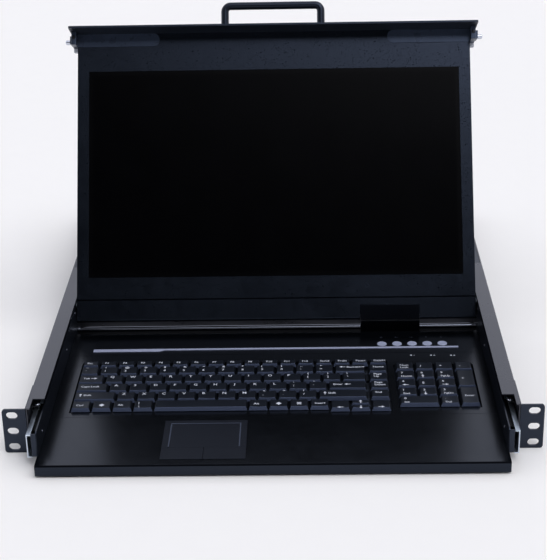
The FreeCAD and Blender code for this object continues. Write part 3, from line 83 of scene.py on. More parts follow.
Point = Sequence[float]
Span = tuple[float, float]
Triple = tuple[float, float, float]
Tone = tuple[int, int, int]
Mesh = bmesh.types.BMesh
Face = bmesh.types.BMFace
Edge = bmesh.types.BMEdge
Vert = bmesh.types.BMVert
Tree = bpy.types.NodeTree
Socket = bpy.types.NodeSocket

# Millimetres from the chassis floor, turned into metres of the shared frame.
ROOM = Matrix.Translation((0, 0, -ORIGIN_ABOVE_FLOOR * MM)) @ Matrix.Scale(MM, 4)


def tilted(origin: Point, right: Point, up: Point) -> Matrix:
    """Gives a flat place to draw on.

    Args:
        origin: the place's zero, in millimetres from the chassis floor.
        right: the direction of its first axis.
        up: the direction of its second axis; the third stands out of the face.

    Returns:
        The matrix from millimetres on that place to metres of the frame.
    """
    across, along = Vector(right).normalized(), Vector(up).normalized()
    out = across.cross(along)
    turn = Matrix((across, along, out)).transposed().to_4x4()
    return ROOM @ Matrix.Translation(origin) @ turn


SCREEN = tilted((0, 237.3, 35.6), (1, 0, 0), (0, math.cos(math.radians(60)), math.sin(math.radians(60))))
REAR = tilted((0, 560, 0), (-1, 0, 0), (0, 0, 1))


def group_tree(name: str, inputs: Sequence[tuple[str, str]], outputs: Sequence[str]) -> Tree:
    """Starts a shader node group.

    Args:
        name: the group's name.
        inputs: names and socket types of what it takes.
        outputs: names of the values it gives.

    Returns:
        The tree, with its group input and output nodes in place.
    """
    tree = bpy.data.node_groups.new(name, "ShaderNodeTree")
    for label, kind in inputs:
        tree.interface.new_socket(label, in_out="INPUT", socket_type=kind)
    for label in outputs:
        tree.interface.new_socket(label, in_out="OUTPUT", socket_type="NodeSocketFloat")
    tree.nodes.new("NodeGroupInput")
    tree.nodes.new("NodeGroupOutput")
    return tree


def feed(tree: Tree, target: Socket, value: Socket | float) -> None:
    """Links a value into a socket, or sets it when it is a number.

    Args:
        tree: the node tree.
        target: the socket that takes it.
        value: another node's value, or a number.
    """
    if isinstance(value, float):
        target.default_value = value
    else:
        tree.links.new(value, target)


def product(tree: Tree, first: Socket | float, second: Socket | float) -> Socket:
    """Multiplies two values.

    Args:
        tree: the node tree.
        first: the one.
        second: the other.

    Returns:
        Their product.
    """
    node = tree.nodes.new("ShaderNodeMath")
    node.operation = "MULTIPLY"
    feed(tree, node.inputs[0], first)
    feed(tree, node.inputs[1], second)
    return node.outputs[0]


def blend(tree: Tree, first: Socket | float, second: Socket | float, share: Socket | float) -> Socket:
    """Mixes two values.

    Args:
        tree: the node tree.
        first: the first value.
        second: the second value.
        share: the second's part.

    Returns:
        The mixed value.
    """
    mix = tree.nodes.new("ShaderNodeMix")
    for number, value in ((0, share), (2, first), (3, second)):
        feed(tree, mix.inputs[number], value)
    return mix.outputs[0]


def ranged(tree: Tree, value: Socket, span: Span, goal: Span = (0.0, 1.0), kind: str = "LINEAR") -> Socket:
    """Maps a value from one span to another.

    Args:
        tree: the node tree.
        value: what is mapped.
        span: the ends of the span that it comes from.
        goal: the ends of the span that it goes to.
        kind: how it goes from end to end.

    Returns:
        The mapped value.
    """
    node = tree.nodes.new("ShaderNodeMapRange")
    node.interpolation_type = kind
    for label, number in zip(("From Min", "From Max", "To Min", "To Max"), (*span, *goal)):
        node.inputs[label].default_value = number
    tree.links.new(value, node.inputs["Value"])
    return node.outputs["Result"]


def noise(tree: Tree, vector: Socket, scale: Socket, factor: float, detail: float) -> Socket:
    """Adds a noise whose scale is a multiple of a group's own scale.

    Args:
        tree: the node group.
        vector: where the noise is read.
        scale: the group's scale.
        factor: how much finer or coarser this noise is.
        detail: how many finer layers it has.

    Returns:
        The noise's value.
    """
    texture = tree.nodes.new("ShaderNodeTexNoise")
    texture.inputs["Detail"].default_value = detail
    tree.links.new(vector, texture.inputs["Vector"])
    tree.links.new(product(tree, scale, factor), texture.inputs["Scale"])
    return texture.outputs["Fac"]


class Grain(Enum):
    """Fine structure of a surface, each one a shader node group."""

    POWDER = "powder_texture"
    DRAWN = "drawn_lines"

    def tree(self) -> Tree:
        """Gives the node group, built once.

        Returns:
            The tree, which gives height, tone and haze at a place.
        """
        found = bpy.data.node_groups.get(self.value)
        if found is not None:
            return found
        tree = group_tree(self.value, (("Vector", "NodeSocketVector"), ("Scale", "NodeSocketFloat"),
                                       ("Stretch", "NodeSocketVector")), ("Height", "Tone", "Haze"))
        given = tree.nodes["Group Input"].outputs
        taken = tree.nodes["Group Output"].inputs
        place = given["Vector"]
        if self is Grain.DRAWN:
            stretch = tree.nodes.new("ShaderNodeVectorMath")
            stretch.operation = "MULTIPLY"
            tree.links.new(given["Vector"], stretch.inputs[0])
            tree.links.new(given["Stretch"], stretch.inputs[1])
            place = stretch.outputs[0]
        fine = noise(tree, place, given["Scale"], 1.0, 2.0)
        patchy = noise(tree, given["Vector"], given["Scale"], 0.12, 3.0)
        broad = noise(tree, given["Vector"], given["Scale"], 0.016, 3.0)
        tree.links.new(fine, taken["Height"])
        tree.links.new(blend(tree, fine, patchy, 0.4), taken["Tone"])
        tree.links.new(blend(tree, patchy, broad, 0.65), taken["Haze"])
        return tree


def linear(tone: Point, factor: float = 1.0) -> tuple[float, float, float, float]:
    """Turns a display colour of 0 to 255 into the shader's own values.

    Args:
        tone: red, green and blue.
        factor: how much lighter or darker it becomes.

    Returns:
        Red, green, blue and a full alpha.
    """
    shares = [value / 255 for value in tone]
    bright = [s / 12.92 if s <= 0.04045 else ((s + 0.055) / 1.055) ** 2.4 for s in shares]
    return tuple(min(1.0, value * factor) for value in bright) + (1.0,)


@dataclass(frozen=True)
class Finish:
    """One surface finish, with its grain at its real scale.

    The spread is how far the grain moves the tone, the scale is in grains per metre and the depth
    of the bump is in millimetres. Flecks are the share of the shine that is lost on the highest grains.
    """

    name: str
    tone: Tone
    spread: float = 0.2
    roughness: Span = (0.4, 0.55)
    metallic: float = 0.0
    specular: float = 0.5
    grain: Grain = Grain.POWDER
    scale: float = 1100.0
    depth: float = 0.02
    stretch: Triple = (1.0, 1.0, 1.0)
    tint: Triple = (1.0, 1.0, 1.0)
    flecks: float = 0.0
    usual_grain: Span = (0.3, 0.7)
    fleck_grain: Span = (0.59, 0.65)

    def material(self) -> bpy.types.Material:
        """Gives the finish's material, built once.

        Returns:
            The material, with tone, roughness and bump from the grain.
        """
        found = bpy.data.materials.get(self.name)
        if found is not None:
            return found
        material = bpy.data.materials.new(self.name)
        material.use_nodes = True
        tree = material.node_tree
        nodes, links = tree.nodes, tree.links
        shader = nodes["Principled BSDF"]
        shader.inputs["Metallic"].default_value = self.metallic
        shader.inputs["Specular IOR Level"].default_value = self.specular
        shader.inputs["Specular Tint"].default_value = (*self.tint, 1.0)
        place = nodes.new("ShaderNodeTexCoord").outputs["Object"]
        grain = nodes.new("ShaderNodeGroup")
        grain.node_tree = self.grain.tree()
        grain.inputs["Scale"].default_value = self.scale
        grain.inputs["Stretch"].default_value = self.stretch
        links.new(place, grain.inputs["Vector"])
        ramp = nodes.new("ShaderNodeValToRGB")
        dark, light = ramp.color_ramp.elements
        dark.position, light.position = self.usual_grain
        dark.color = linear(self.tone, 1 - self.spread)
        light.color = linear(self.tone, 1 + self.spread)
        links.new(grain.outputs["Tone"], ramp.inputs["Fac"])
        links.new(ramp.outputs["Color"], shader.inputs["Base Color"])
        rough = ranged(tree, grain.outputs["Haze"], self.usual_grain, self.roughness)
        links.new(rough, shader.inputs["Roughness"])
        if self.flecks:
            lost = (self.specular, self.specular * (1 - self.flecks))
            shine = ranged(tree, grain.outputs["Height"], self.fleck_grain, lost)
            links.new(shine, shader.inputs["Specular IOR Level"])
        bump = nodes.new("ShaderNodeBump")
        bump.inputs["Strength"].default_value = 1.0
        bump.inputs["Distance"].default_value = self.depth * MM
        links.new(grain.outputs["Height"], bump.inputs["Height"])
        links.new(bump.outputs["Normal"], shader.inputs["Normal"])
        return material


COOL = (0.58, 0.71, 1.0)
ALONG_Y = (1.0, 0.05, 1.0)
ALONG_X = (0.04, 1.0, 1.0)
BRUSHED_X = (0.06, 1.0, 1.0)


def coated(name: str, tone: Tone, spread: float, roughness: Span, specular: float,
           depth: float, scale: float = 1300.0, flecks: float = 0.0) -> Finish:
    """Gives a dark coat or moulding with a cool sheen."""
    return Finish(name, tone, spread, roughness, specular=specular, scale=scale, depth=depth, tint=COOL,
                  flecks=flecks)


def plated(name: str, tone: Tone, spread: float, roughness: Span, scale: float, depth: float,
           stretch: Triple, metallic: float = 1.0) -> Finish:
    """Gives a metal with drawn lines."""
    return Finish(name, tone, spread, roughness, metallic, grain=Grain.DRAWN, scale=scale, depth=depth,
                  stretch=stretch)


COAT = coated("blue_black_powder_coat", (10, 12, 17), 0.35, (0.28, 0.4), 0.6, 0.03)
PAN_COAT = Finish("satin_pan_coat", (24, 25, 31), 0.2, (0.26, 0.34), specular=1.0, scale=1300, depth=0.006,
                  tint=(0.84, 0.87, 1.0))
PANEL_COAT = coated("front_panel_coat", (17, 20, 26), 0.3, (0.3, 0.42), 0.45, 0.02)
HANDLE_COAT = coated("handle_coat", (7, 8, 11), 0.3, (0.26, 0.36), 0.4, 0.02)
DECK_COAT = coated("deck_powder_coat", (4, 5, 7), 0.4, (0.18, 0.25), 0.45, 0.012)
BEZEL_COAT = coated("bezel_texture_coat", (6, 8, 11), 0.6, (0.2, 0.28), 0.5, 0.02, scale=820, flecks=0.7)
STRIP_COAT = coated("latch_strip_coat", (40, 47, 60), 0.3, (0.24, 0.32), 0.6, 0.02, scale=700)
# Near-black matte sheet: painted shade on the tray floor behind the deck, in the bend over the deck's lip, in
# the deck's front seam and in the chin's crease.
PAINTED_SHADE_SHEET = coated("painted_shade_sheet", (2, 2, 3), 0.2, (0.55, 0.7), 0.06, 0.02)
ZINC = plated("zinc_plate", (206, 217, 230), 0.12, (0.24, 0.4), 900, 0.006, ALONG_Y)
BRIGHT = plated("bright_plate", (206, 211, 222), 0.06, (0.2, 0.3), 1600, 0.003, ALONG_X)
ROD = plated("dull_plated_rod", (128, 132, 142), 0.0, (0.12, 0.17), 1600, 0.0, ALONG_X)
# Darkened copy of the slide steel: painted shade on the outer and inner members.
SLIDE_PAINTED_SHADE = plated("slide_steel_painted_shade", (24, 26, 31), 0.15, (0.4, 0.55), 900, 0.006, ALONG_Y, 0.4)
PALE = Finish("pale_moulding", (196, 199, 208), 0.06, (0.4, 0.5), specular=0.4, scale=1500, depth=0.006)
SHIELD = plated("jack_shield_plate", (186, 176, 158), 0.15, (0.28, 0.42), 900, 0.005, (0.1, 1.0, 1.0))
GOLD = plated("gold_contact", (226, 178, 84), 0.1, (0.2, 0.3), 2500, 0.002, (1.0, 0.1, 1.0))
BLUE = Finish("blue_moulding", (38, 74, 170), 0.1, (0.4, 0.55), scale=1800, depth=0.01)
BLACK = coated("black_moulding", (12, 13, 16), 0.3, (0.36, 0.5), 0.4, 0.02, scale=1500)
BLOCK = coated("hinge_block_moulding", (2, 2, 3), 0.2, (0.26, 0.34), 0.09, 0.006, scale=1500)
GLOSS_BLACK = Finish("gloss_black_moulding", (12, 12, 15), 0.15, (0.18, 0.28), scale=1800, depth=0.004)
BOARD = Finish("green_solder_mask", (26, 84, 48), 0.25, (0.3, 0.45), scale=500, depth=0.01)
CAN = plated("supply_can_plate", (190, 192, 196), 0.1, (0.3, 0.45), 700, 0.006, BRUSHED_X)
FILM = coated("smooth_dark_film", (3, 4, 6), 0.15, (0.16, 0.22), 0.25, 0.004, scale=700)
SILVER = plated("satin_silver", (160, 166, 190), 0.08, (0.32, 0.44), 1400, 0.004, BRUSHED_X, 0.2)
CAP_TOP = coated("keycap_top_matte", (13, 16, 22), 0.25, (0.34, 0.44), 0.32, 0.012, scale=2400)
# Slightly darker, less shiny copy of the cap plastic: painted shade on each cap's side and back faces.
CAP_SIDE_PAINTED_SHADE = coated("keycap_side_painted_shade", (13, 15, 19), 0.15, (0.4, 0.5), 0.2, 0.01, scale=2400)
# Lighter copy of the cap plastic: painted light on each cap's front slope.
CAP_FRONT_PAINTED_LIGHT = coated("keycap_front_painted_light", (60, 67, 86), 0.15, (0.36, 0.48), 0.5, 0.01, scale=2400)
PAD = coated("touch_surface", (17, 19, 25), 0.2, (0.34, 0.44), 0.3, 0.012, scale=2600)
# Lighter copy of the pad plastic: painted highlight on the touchpad's raised guide lines and on the cable
# cover's top edge.
LINE_HIGHLIGHT_PAINT = coated("painted_line_highlight", (54, 59, 72), 0.1, (0.36, 0.46), 0.35, 0.006, scale=2600)
INK = Finish("white_ink", (192, 196, 206), 0.05, (0.55, 0.7), specular=0.2, scale=1600, depth=0.004)
FAINT_INK = Finish("faint_ink", (30, 33, 42), 0.08, (0.55, 0.7), specular=0.15, scale=1600, depth=0.004)
DISPLAY = Finish("display_surface", (2, 2, 3), 0.25, (0.16, 0.22), specular=0.05, scale=240, depth=0.0)
DISPLAY_EDGE = Finish("display_edge_mask", (2, 2, 3), 0.2, (0.2, 0.26), specular=0.06, scale=240, depth=0.0)
SCREW_BLACK = Finish("blackened_screw", (30, 32, 38), 0.2, (0.3, 0.42), 0.6, scale=1500, depth=0.006)
# Painted shade: dark discs that stand for the shade inside holes.
SHADE = Finish("painted_recess_shade", (6, 6, 7), 0.2, (0.7, 0.85), specular=0.1, scale=1500, depth=0.0)
FLOOR_PAINT = Finish("pale_studio_floor", (238, 236, 233), 0.005, (0.85, 0.95), specular=0.0, scale=40,
                     depth=0.0)

FINISH_OF_SLOT = {"black_coat": COAT, "zinc": ZINC, "blue_plastic": BLUE, "black_plastic": BLACK,
                  "rocker": GLOSS_BLACK, "board": BOARD, "supply_can": CAN, "film": FILM, "silver": SILVER}


def linked(name: str, data: bpy.types.ID) -> bpy.types.Object:
    """Puts a new object into the scene.

    Args:
        name: the object's name.
        data: its mesh, light or camera.

    Returns:
        The object.
    """
    made = bpy.data.objects.new(name, data)
    bpy.context.scene.collection.objects.link(made)
    return made


def round_over(work: Mesh, edges: Iterable[Edge], offset: float) -> None:
    """Eases edges by a distance, with two facets."""
    bmesh.ops.bevel(work, geom=list(edges), offset=offset, offset_type="OFFSET", segments=2, profile=0.5,
                    affect="EDGES", material=-1, clamp_overlap=True)


def turn_about(work: Mesh, verts: Iterable[Vert], degrees: float, axis: str = "Z") -> None:
    """Turns corners about an axis through zero."""
    turn = Matrix.Rotation(math.radians(degrees), 3, axis)
    bmesh.ops.rotate(work, cent=(0, 0, 0), matrix=turn, verts=list(verts))


def join_flat(work: Mesh) -> None:
    """Joins the triangles of each flat face."""
    bmesh.ops.dissolve_limit(work, angle_limit=math.radians(FLAT_DEGREES), verts=work.verts, edges=work.edges,
                             use_dissolve_boundaries=False)


def standing(at: Point, axis: Point) -> Matrix:
    """Gives the place of a shape whose height runs along an axis."""
    return Matrix.Translation(at) @ Vector((0, 0, 1)).rotation_difference(Vector(axis)).to_matrix().to_4x4()


def only(kind: type, made: Iterable[object]) -> list:
    """Keeps the corners or the edges of what an operator made."""
    return [part for part in made if isinstance(part, kind)]


def ends_across(work: Mesh) -> Span:
    """Gives the left and the right end of a mesh."""
    return min(vert.co.x for vert in work.verts), max(vert.co.x for vert in work.verts)


def merged(node: str) -> Mesh:
    """Copies a CAD node's mesh, in millimetres from the floor, as closed flat faces.

    Args:
        node: the node's name.

    Returns:
        The copy, with its loose triangles merged.
    """
    work = bmesh.new()
    work.from_mesh(frame["nodes"][node].data)
    bmesh.ops.transform(work, matrix=ROOM.inverted(), verts=work.verts)
    bmesh.ops.remove_doubles(work, verts=work.verts, dist=WELD)
    return work


def islands(node: str) -> list[tuple[Vector, Vector]]:
    """Finds the separate solids of a node.

    Args:
        node: the node's name.

    Returns:
        The lowest and highest corner of each, from the back row to the front and from left to right.
    """
    work = merged(node)
    left = set(work.verts)
    boxes = []
    while left:
        found, front = set(), [left.pop()]
        while front:
            vert = front.pop()
            found.add(vert)
            near = {edge.other_vert(vert) for edge in vert.link_edges} & left
            left -= near
            front.extend(near)
        low = Vector(min(v.co[axis] for v in found) for axis in range(3))
        high = Vector(max(v.co[axis] for v in found) for axis in range(3))
        boxes.append((low, high))
    work.free()
    return sorted(boxes, key=lambda corners: (round(-corners[1].y), corners[0].x))


@dataclass
class Piece:
    """A mesh in the making: shapes are added in millimetres, then it is placed and rides on a body."""

    name: str
    body: str
    finishes: Sequence[Finish]
    slot: str = ""
    place: Matrix = field(default_factory=ROOM.copy)
    mesh: Mesh = field(default_factory=bmesh.new)

    def join(self, work: Mesh, place: Matrix | None = None, finish: int = 0) -> None:
        """Adds another mesh to this one and frees it.

        Args:
            work: the mesh to add.
            place: where it goes.
            finish: what is added to its faces' finish number.
        """
        if place is not None:
            bmesh.ops.transform(work, matrix=place, verts=work.verts)
        for face in work.faces:
            face.material_index += finish
        shape = bpy.data.meshes.new("shape")
        work.to_mesh(shape)
        work.free()
        self.mesh.from_mesh(shape)
        bpy.data.meshes.remove(shape)

    def box(self, low: Point, high: Point, bevel: float = 0.0, finish: int = 0,
            turn: Matrix | None = None) -> None:
        """Adds a block with eased edges.

        Args:
            low: its lowest corner.
            high: its highest corner.
            bevel: how far the edges are eased.
            finish: its finish's number.
            turn: a turn about its own middle.
        """
        work = bmesh.new()
        bmesh.ops.create_cube(work, size=1.0)
        bmesh.ops.scale(work, vec=Vector(high) - Vector(low), verts=work.verts)
        if bevel:
            round_over(work, work.edges, bevel)
        middle = Matrix.Translation((Vector(low) + Vector(high)) / 2)
        self.join(work, middle @ turn if turn else middle, finish)

    def lathe(self, profile: Sequence[Span], at: Point, axis: Point = (0, 0, 1),
              steps: int = 24, finish: int = 0) -> None:
        """Adds a turned shape.

        Args:
            profile: radius and height of each corner, from the base to the top.
            at: where the base stands.
            axis: the direction of the height.
            steps: how many facets go round.
            finish: its finish's number.
        """
        work = bmesh.new()
        corners = [work.verts.new((radius, 0, height)) for radius, height in profile]
        for first, second in zip(corners, corners[1:]):
            work.edges.new((first, second))
        bmesh.ops.spin(work, geom=work.verts[:] + work.edges[:], cent=(0, 0, 0), axis=(0, 0, 1),
                       dvec=(0, 0, 0), angle=math.tau, steps=steps, use_merge=True)
        bmesh.ops.remove_doubles(work, verts=work.verts, dist=0.001)
        bmesh.ops.recalc_face_normals(work, faces=work.faces)
        self.join(work, standing(at, axis), finish)

    def screw(self, at: Point, axis: Point, radius: float, rise: float) -> None:
        """Adds a domed screw head with a cross recess.

        Args:
            at: the middle of its seat.
            axis: the direction in which it stands out.
            radius: the head's radius.
            rise: the head's height.
        """
        work = bmesh.new()
        reach, arm = 0.56 * radius, 0.16 * radius
        bmesh.ops.create_grid(work, x_segments=3, y_segments=3, size=reach)
        for vert in work.verts:
            for number in (0, 1):
                if abs(vert.co[number]) < 0.9 * reach:
                    vert.co[number] = math.copysign(arm, vert.co[number])
        corner = [f for f in work.faces if min(map(abs, f.calc_center_median().xy)) > arm]
        bmesh.ops.delete(work, geom=corner, context="FACES")
        bmesh.ops.translate(work, vec=(0, 0, rise), verts=work.verts)
        cross = [edge for edge in work.edges if edge.is_boundary]
        sunk = bmesh.ops.extrude_face_region(work, geom=work.faces[:])["geom"]
        bmesh.ops.translate(work, vec=(0, 0, -0.7 * rise), verts=only(Vert, sunk))
        loop = cross
        for share, height in ((0.8, 0.93 * rise), (1.0, 0.5 * rise), (1.0, -0.2 * rise)):
            ring = bmesh.ops.create_circle(work, segments=12, radius=share * radius)["verts"]
            turn_about(work, ring, 15)
            bmesh.ops.translate(work, vec=(0, 0, height), verts=ring)
            rim = list({edge for vert in ring for edge in vert.link_edges})
            bmesh.ops.bridge_loops(work, edges=loop + rim)
            loop = rim
        bmesh.ops.recalc_face_normals(work, faces=work.faces)
        self.join(work, standing(at, axis))

    def done(self, *nodes: str, sharp: float = 35.0) -> None:
        """Places the mesh, gives it its finishes and lets it ride.

        Args:
            nodes: the CAD nodes that it stands for.
            sharp: edges above this angle stay sharp.
        """
        bmesh.ops.transform(self.mesh, matrix=self.place, verts=self.mesh.verts)
        shape = bpy.data.meshes.new(self.name)
        for face in self.mesh.faces:
            face.smooth = True
        self.mesh.to_mesh(shape)
        self.mesh.free()
        shape.set_sharp_from_angle(angle=math.radians(sharp))
        for finish in self.finishes:
            shape.materials.append(finish.material())
        piece = linked(self.name, shape)
        even = piece.modifiers.new("even_shading", "WEIGHTED_NORMAL")
        even.keep_sharp = True
        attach(piece, self.body)
        if nodes:
            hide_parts(*nodes)
        LOG.info("%s on %s: %d faces", self.name, self.body, len(shape.polygons))


def dress(node: str) -> None:
    """Gives a CAD node, which keeps its own mesh, the finish of its slot.

    Args:
        node: the node's name.
    """
    held = frame["nodes"][node]
    material = FINISH_OF_SLOT[SLOT_OF[node]].material()
    if not held.material_slots:
        held.data.materials.append(material)
    for place in held.material_slots:
        place.material = material
    LOG.info("%s keeps its solid", node)


def skin(node: str, finishes: Sequence[Finish] = (), ease: float = 0.3, shortest: float = 2.5,
         pick: Callable[[Face], int] | None = None,
         reshape: Callable[[Mesh], None] | None = None) -> None:
    """Stands for a CAD node with the same shape and eased edges.

    Args:
        node: the node's name.
        finishes: its finishes, or none for the one of its slot.
        ease: how far its edges are eased.
        shortest: edges under this length stay as they are.
        pick: gives the finish's number of a face, before the edges are eased.
        reshape: changes the copy first.
    """
    work = merged(node)
    if reshape:
        reshape(work)
    join_flat(work)
    if pick:
        for face in work.faces:
            face.material_index = pick(face)
    edges = [edge for edge in work.edges if len(edge.link_faces) == 2 and edge.calc_length() > shortest
             and edge.calc_face_angle() > math.radians(EASED_DEGREES)]
    if ease:
        round_over(work, edges, ease)
    piece = Piece(f"{node}_skin", BODY_OF[node], finishes or (FINISH_OF_SLOT[SLOT_OF[node]],), SLOT_OF[node])
    piece.join(work)
    piece.done(node)


@cache
def lettering(words: str, size: float) -> bpy.types.Mesh:
    """Turns words into a flat mesh, their first line standing on zero.

    Args:
        words: what is written.
        size: the height of the type in millimetres.

    Returns:
        The mesh, its left end at zero.
    """
    curve = bpy.data.curves.new("lettering", "FONT")
    curve.body = words
    curve.size = size
    curve.resolution_u = 2
    curve.offset = 0.015 * size
    holder = bpy.data.objects.new("lettering", curve)
    mesh = bpy.data.meshes.new_from_object(holder)
    bpy.data.objects.remove(holder)
    return mesh


def written(words: str, size: float) -> Mesh:
    """Gives words as a mesh that may be changed.

    Args:
        words: what is written.
        size: the height of the type in millimetres.

    Returns:
        A copy of the lettering.
    """
    work = bmesh.new()
    work.from_mesh(lettering(words, size))
    return work


class Mark(Enum):
    """A plain mark on a key: an arrow by its direction in degrees from pointing right, a block or a list."""

    RIGHT = 0
    UP = 90
    LEFT = 180
    DOWN = 270
    BLOCK = "block"
    LIST = "list"

    def drawn(self, size: float) -> Mesh:
        """Draws the mark flat.

        Args:
            size: its height in millimetres.

        Returns:
            The mark, its middle at zero.
        """
        work = bmesh.new()
        if self is Mark.BLOCK:
            self.bar(work, 0.0, 0.0, 0.9 * size, 0.9 * size)
            turn_about(work, work.verts, 45)
        elif self is Mark.LIST:
            for step in (-1, 0, 1):
                self.bar(work, 0.0, 0.36 * step * size, 0.95 * size, 0.24 * size)
        else:
            head = bmesh.ops.create_circle(work, cap_ends=True, segments=3, radius=0.45 * size)["verts"]
            turn_about(work, head, -90)
            bmesh.ops.translate(work, vec=(0.3 * size, 0, 0), verts=head)
            self.bar(work, -0.3 * size, 0.0, 0.75 * size, 0.2 * size)
            turn_about(work, work.verts, self.value)
        for face in work.faces:
            if face.normal.z < 0:
                face.normal_flip()
        return work

    def bar(self, work: Mesh, x: float, y: float, width: float, height: float) -> None:
        """Adds a flat bar to a mark.

        Args:
            work: the mark's mesh.
            x: its middle across.
            y: its middle upwards.
            width: its width.
            height: its height.
        """
        verts = bmesh.ops.create_grid(work, x_segments=1, y_segments=1, size=0.5)["verts"]
        bmesh.ops.scale(work, vec=(width, height, 1), verts=verts)
        bmesh.ops.translate(work, vec=(x, y, 0), verts=verts)


@dataclass
class Chassis:
    """Sheet-metal box, rack ears and what is fixed inside."""

    half_width: float = 220.0
    slide_height: float = 19.5
    slide_screws: tuple[float, ...] = (62.0, 150.0, 262.0)
    cover_screws: tuple[float, ...] = (324.0, 440.0, 550.0)
    ear_screws: tuple[Span, ...] = ((33.0, 37.0), (33.0, 8.0))
    ear_leg: float = 222.0
    ear_leg_seen: float = 220.6
    top: float = 44.0
    cover_screw_x: float = 205.0
    wall_head: Span = (2.8, 0.9)
    cover_head: Span = (2.4, 0.45)
    ear_head: Span = (2.6, 0.9)
    ear_plate: float = 1.9

    def build(self) -> None:
        """Makes the sheet metal, its screws and the inner units."""
        skin("chassis_pan", (PAN_COAT,))
        skin("rack_ears", reshape=self.thin_legs)
        skin("rear_cover")
        for node in ("bulkhead", "main_board", "power_supply"):
            dress(node)
        self.screws()

    def screws(self) -> None:
        """Puts screws on the side walls, on the cover and on the legs of the ears."""
        heads = Piece("chassis_screws", "chassis", (SCREW_BLACK,), "black_coat")
        for side in SIDES:
            for y in self.slide_screws:
                heads.screw((side * self.half_width, y, self.slide_height), (side, 0, 0), *self.wall_head)
            for y in self.cover_screws:
                heads.screw((side * self.cover_screw_x, y, self.top), (0, 0, 1), *self.cover_head)
            for y, z in self.ear_screws:
                heads.screw((side * self.ear_leg_seen, y, z), (side, 0, 0), *self.ear_head)
        heads.done()

    def thin_legs(self, work: Mesh) -> None:
        """Draws the legs of the ears in, as thin plates on the side walls.

        Args:
            work: the copy of the ears.
        """
        for vert in work.verts:
            if vert.co.y > self.ear_plate and abs(abs(vert.co.x) - self.ear_leg) < NEAR:
                vert.co.x = math.copysign(self.ear_leg_seen, vert.co.x)


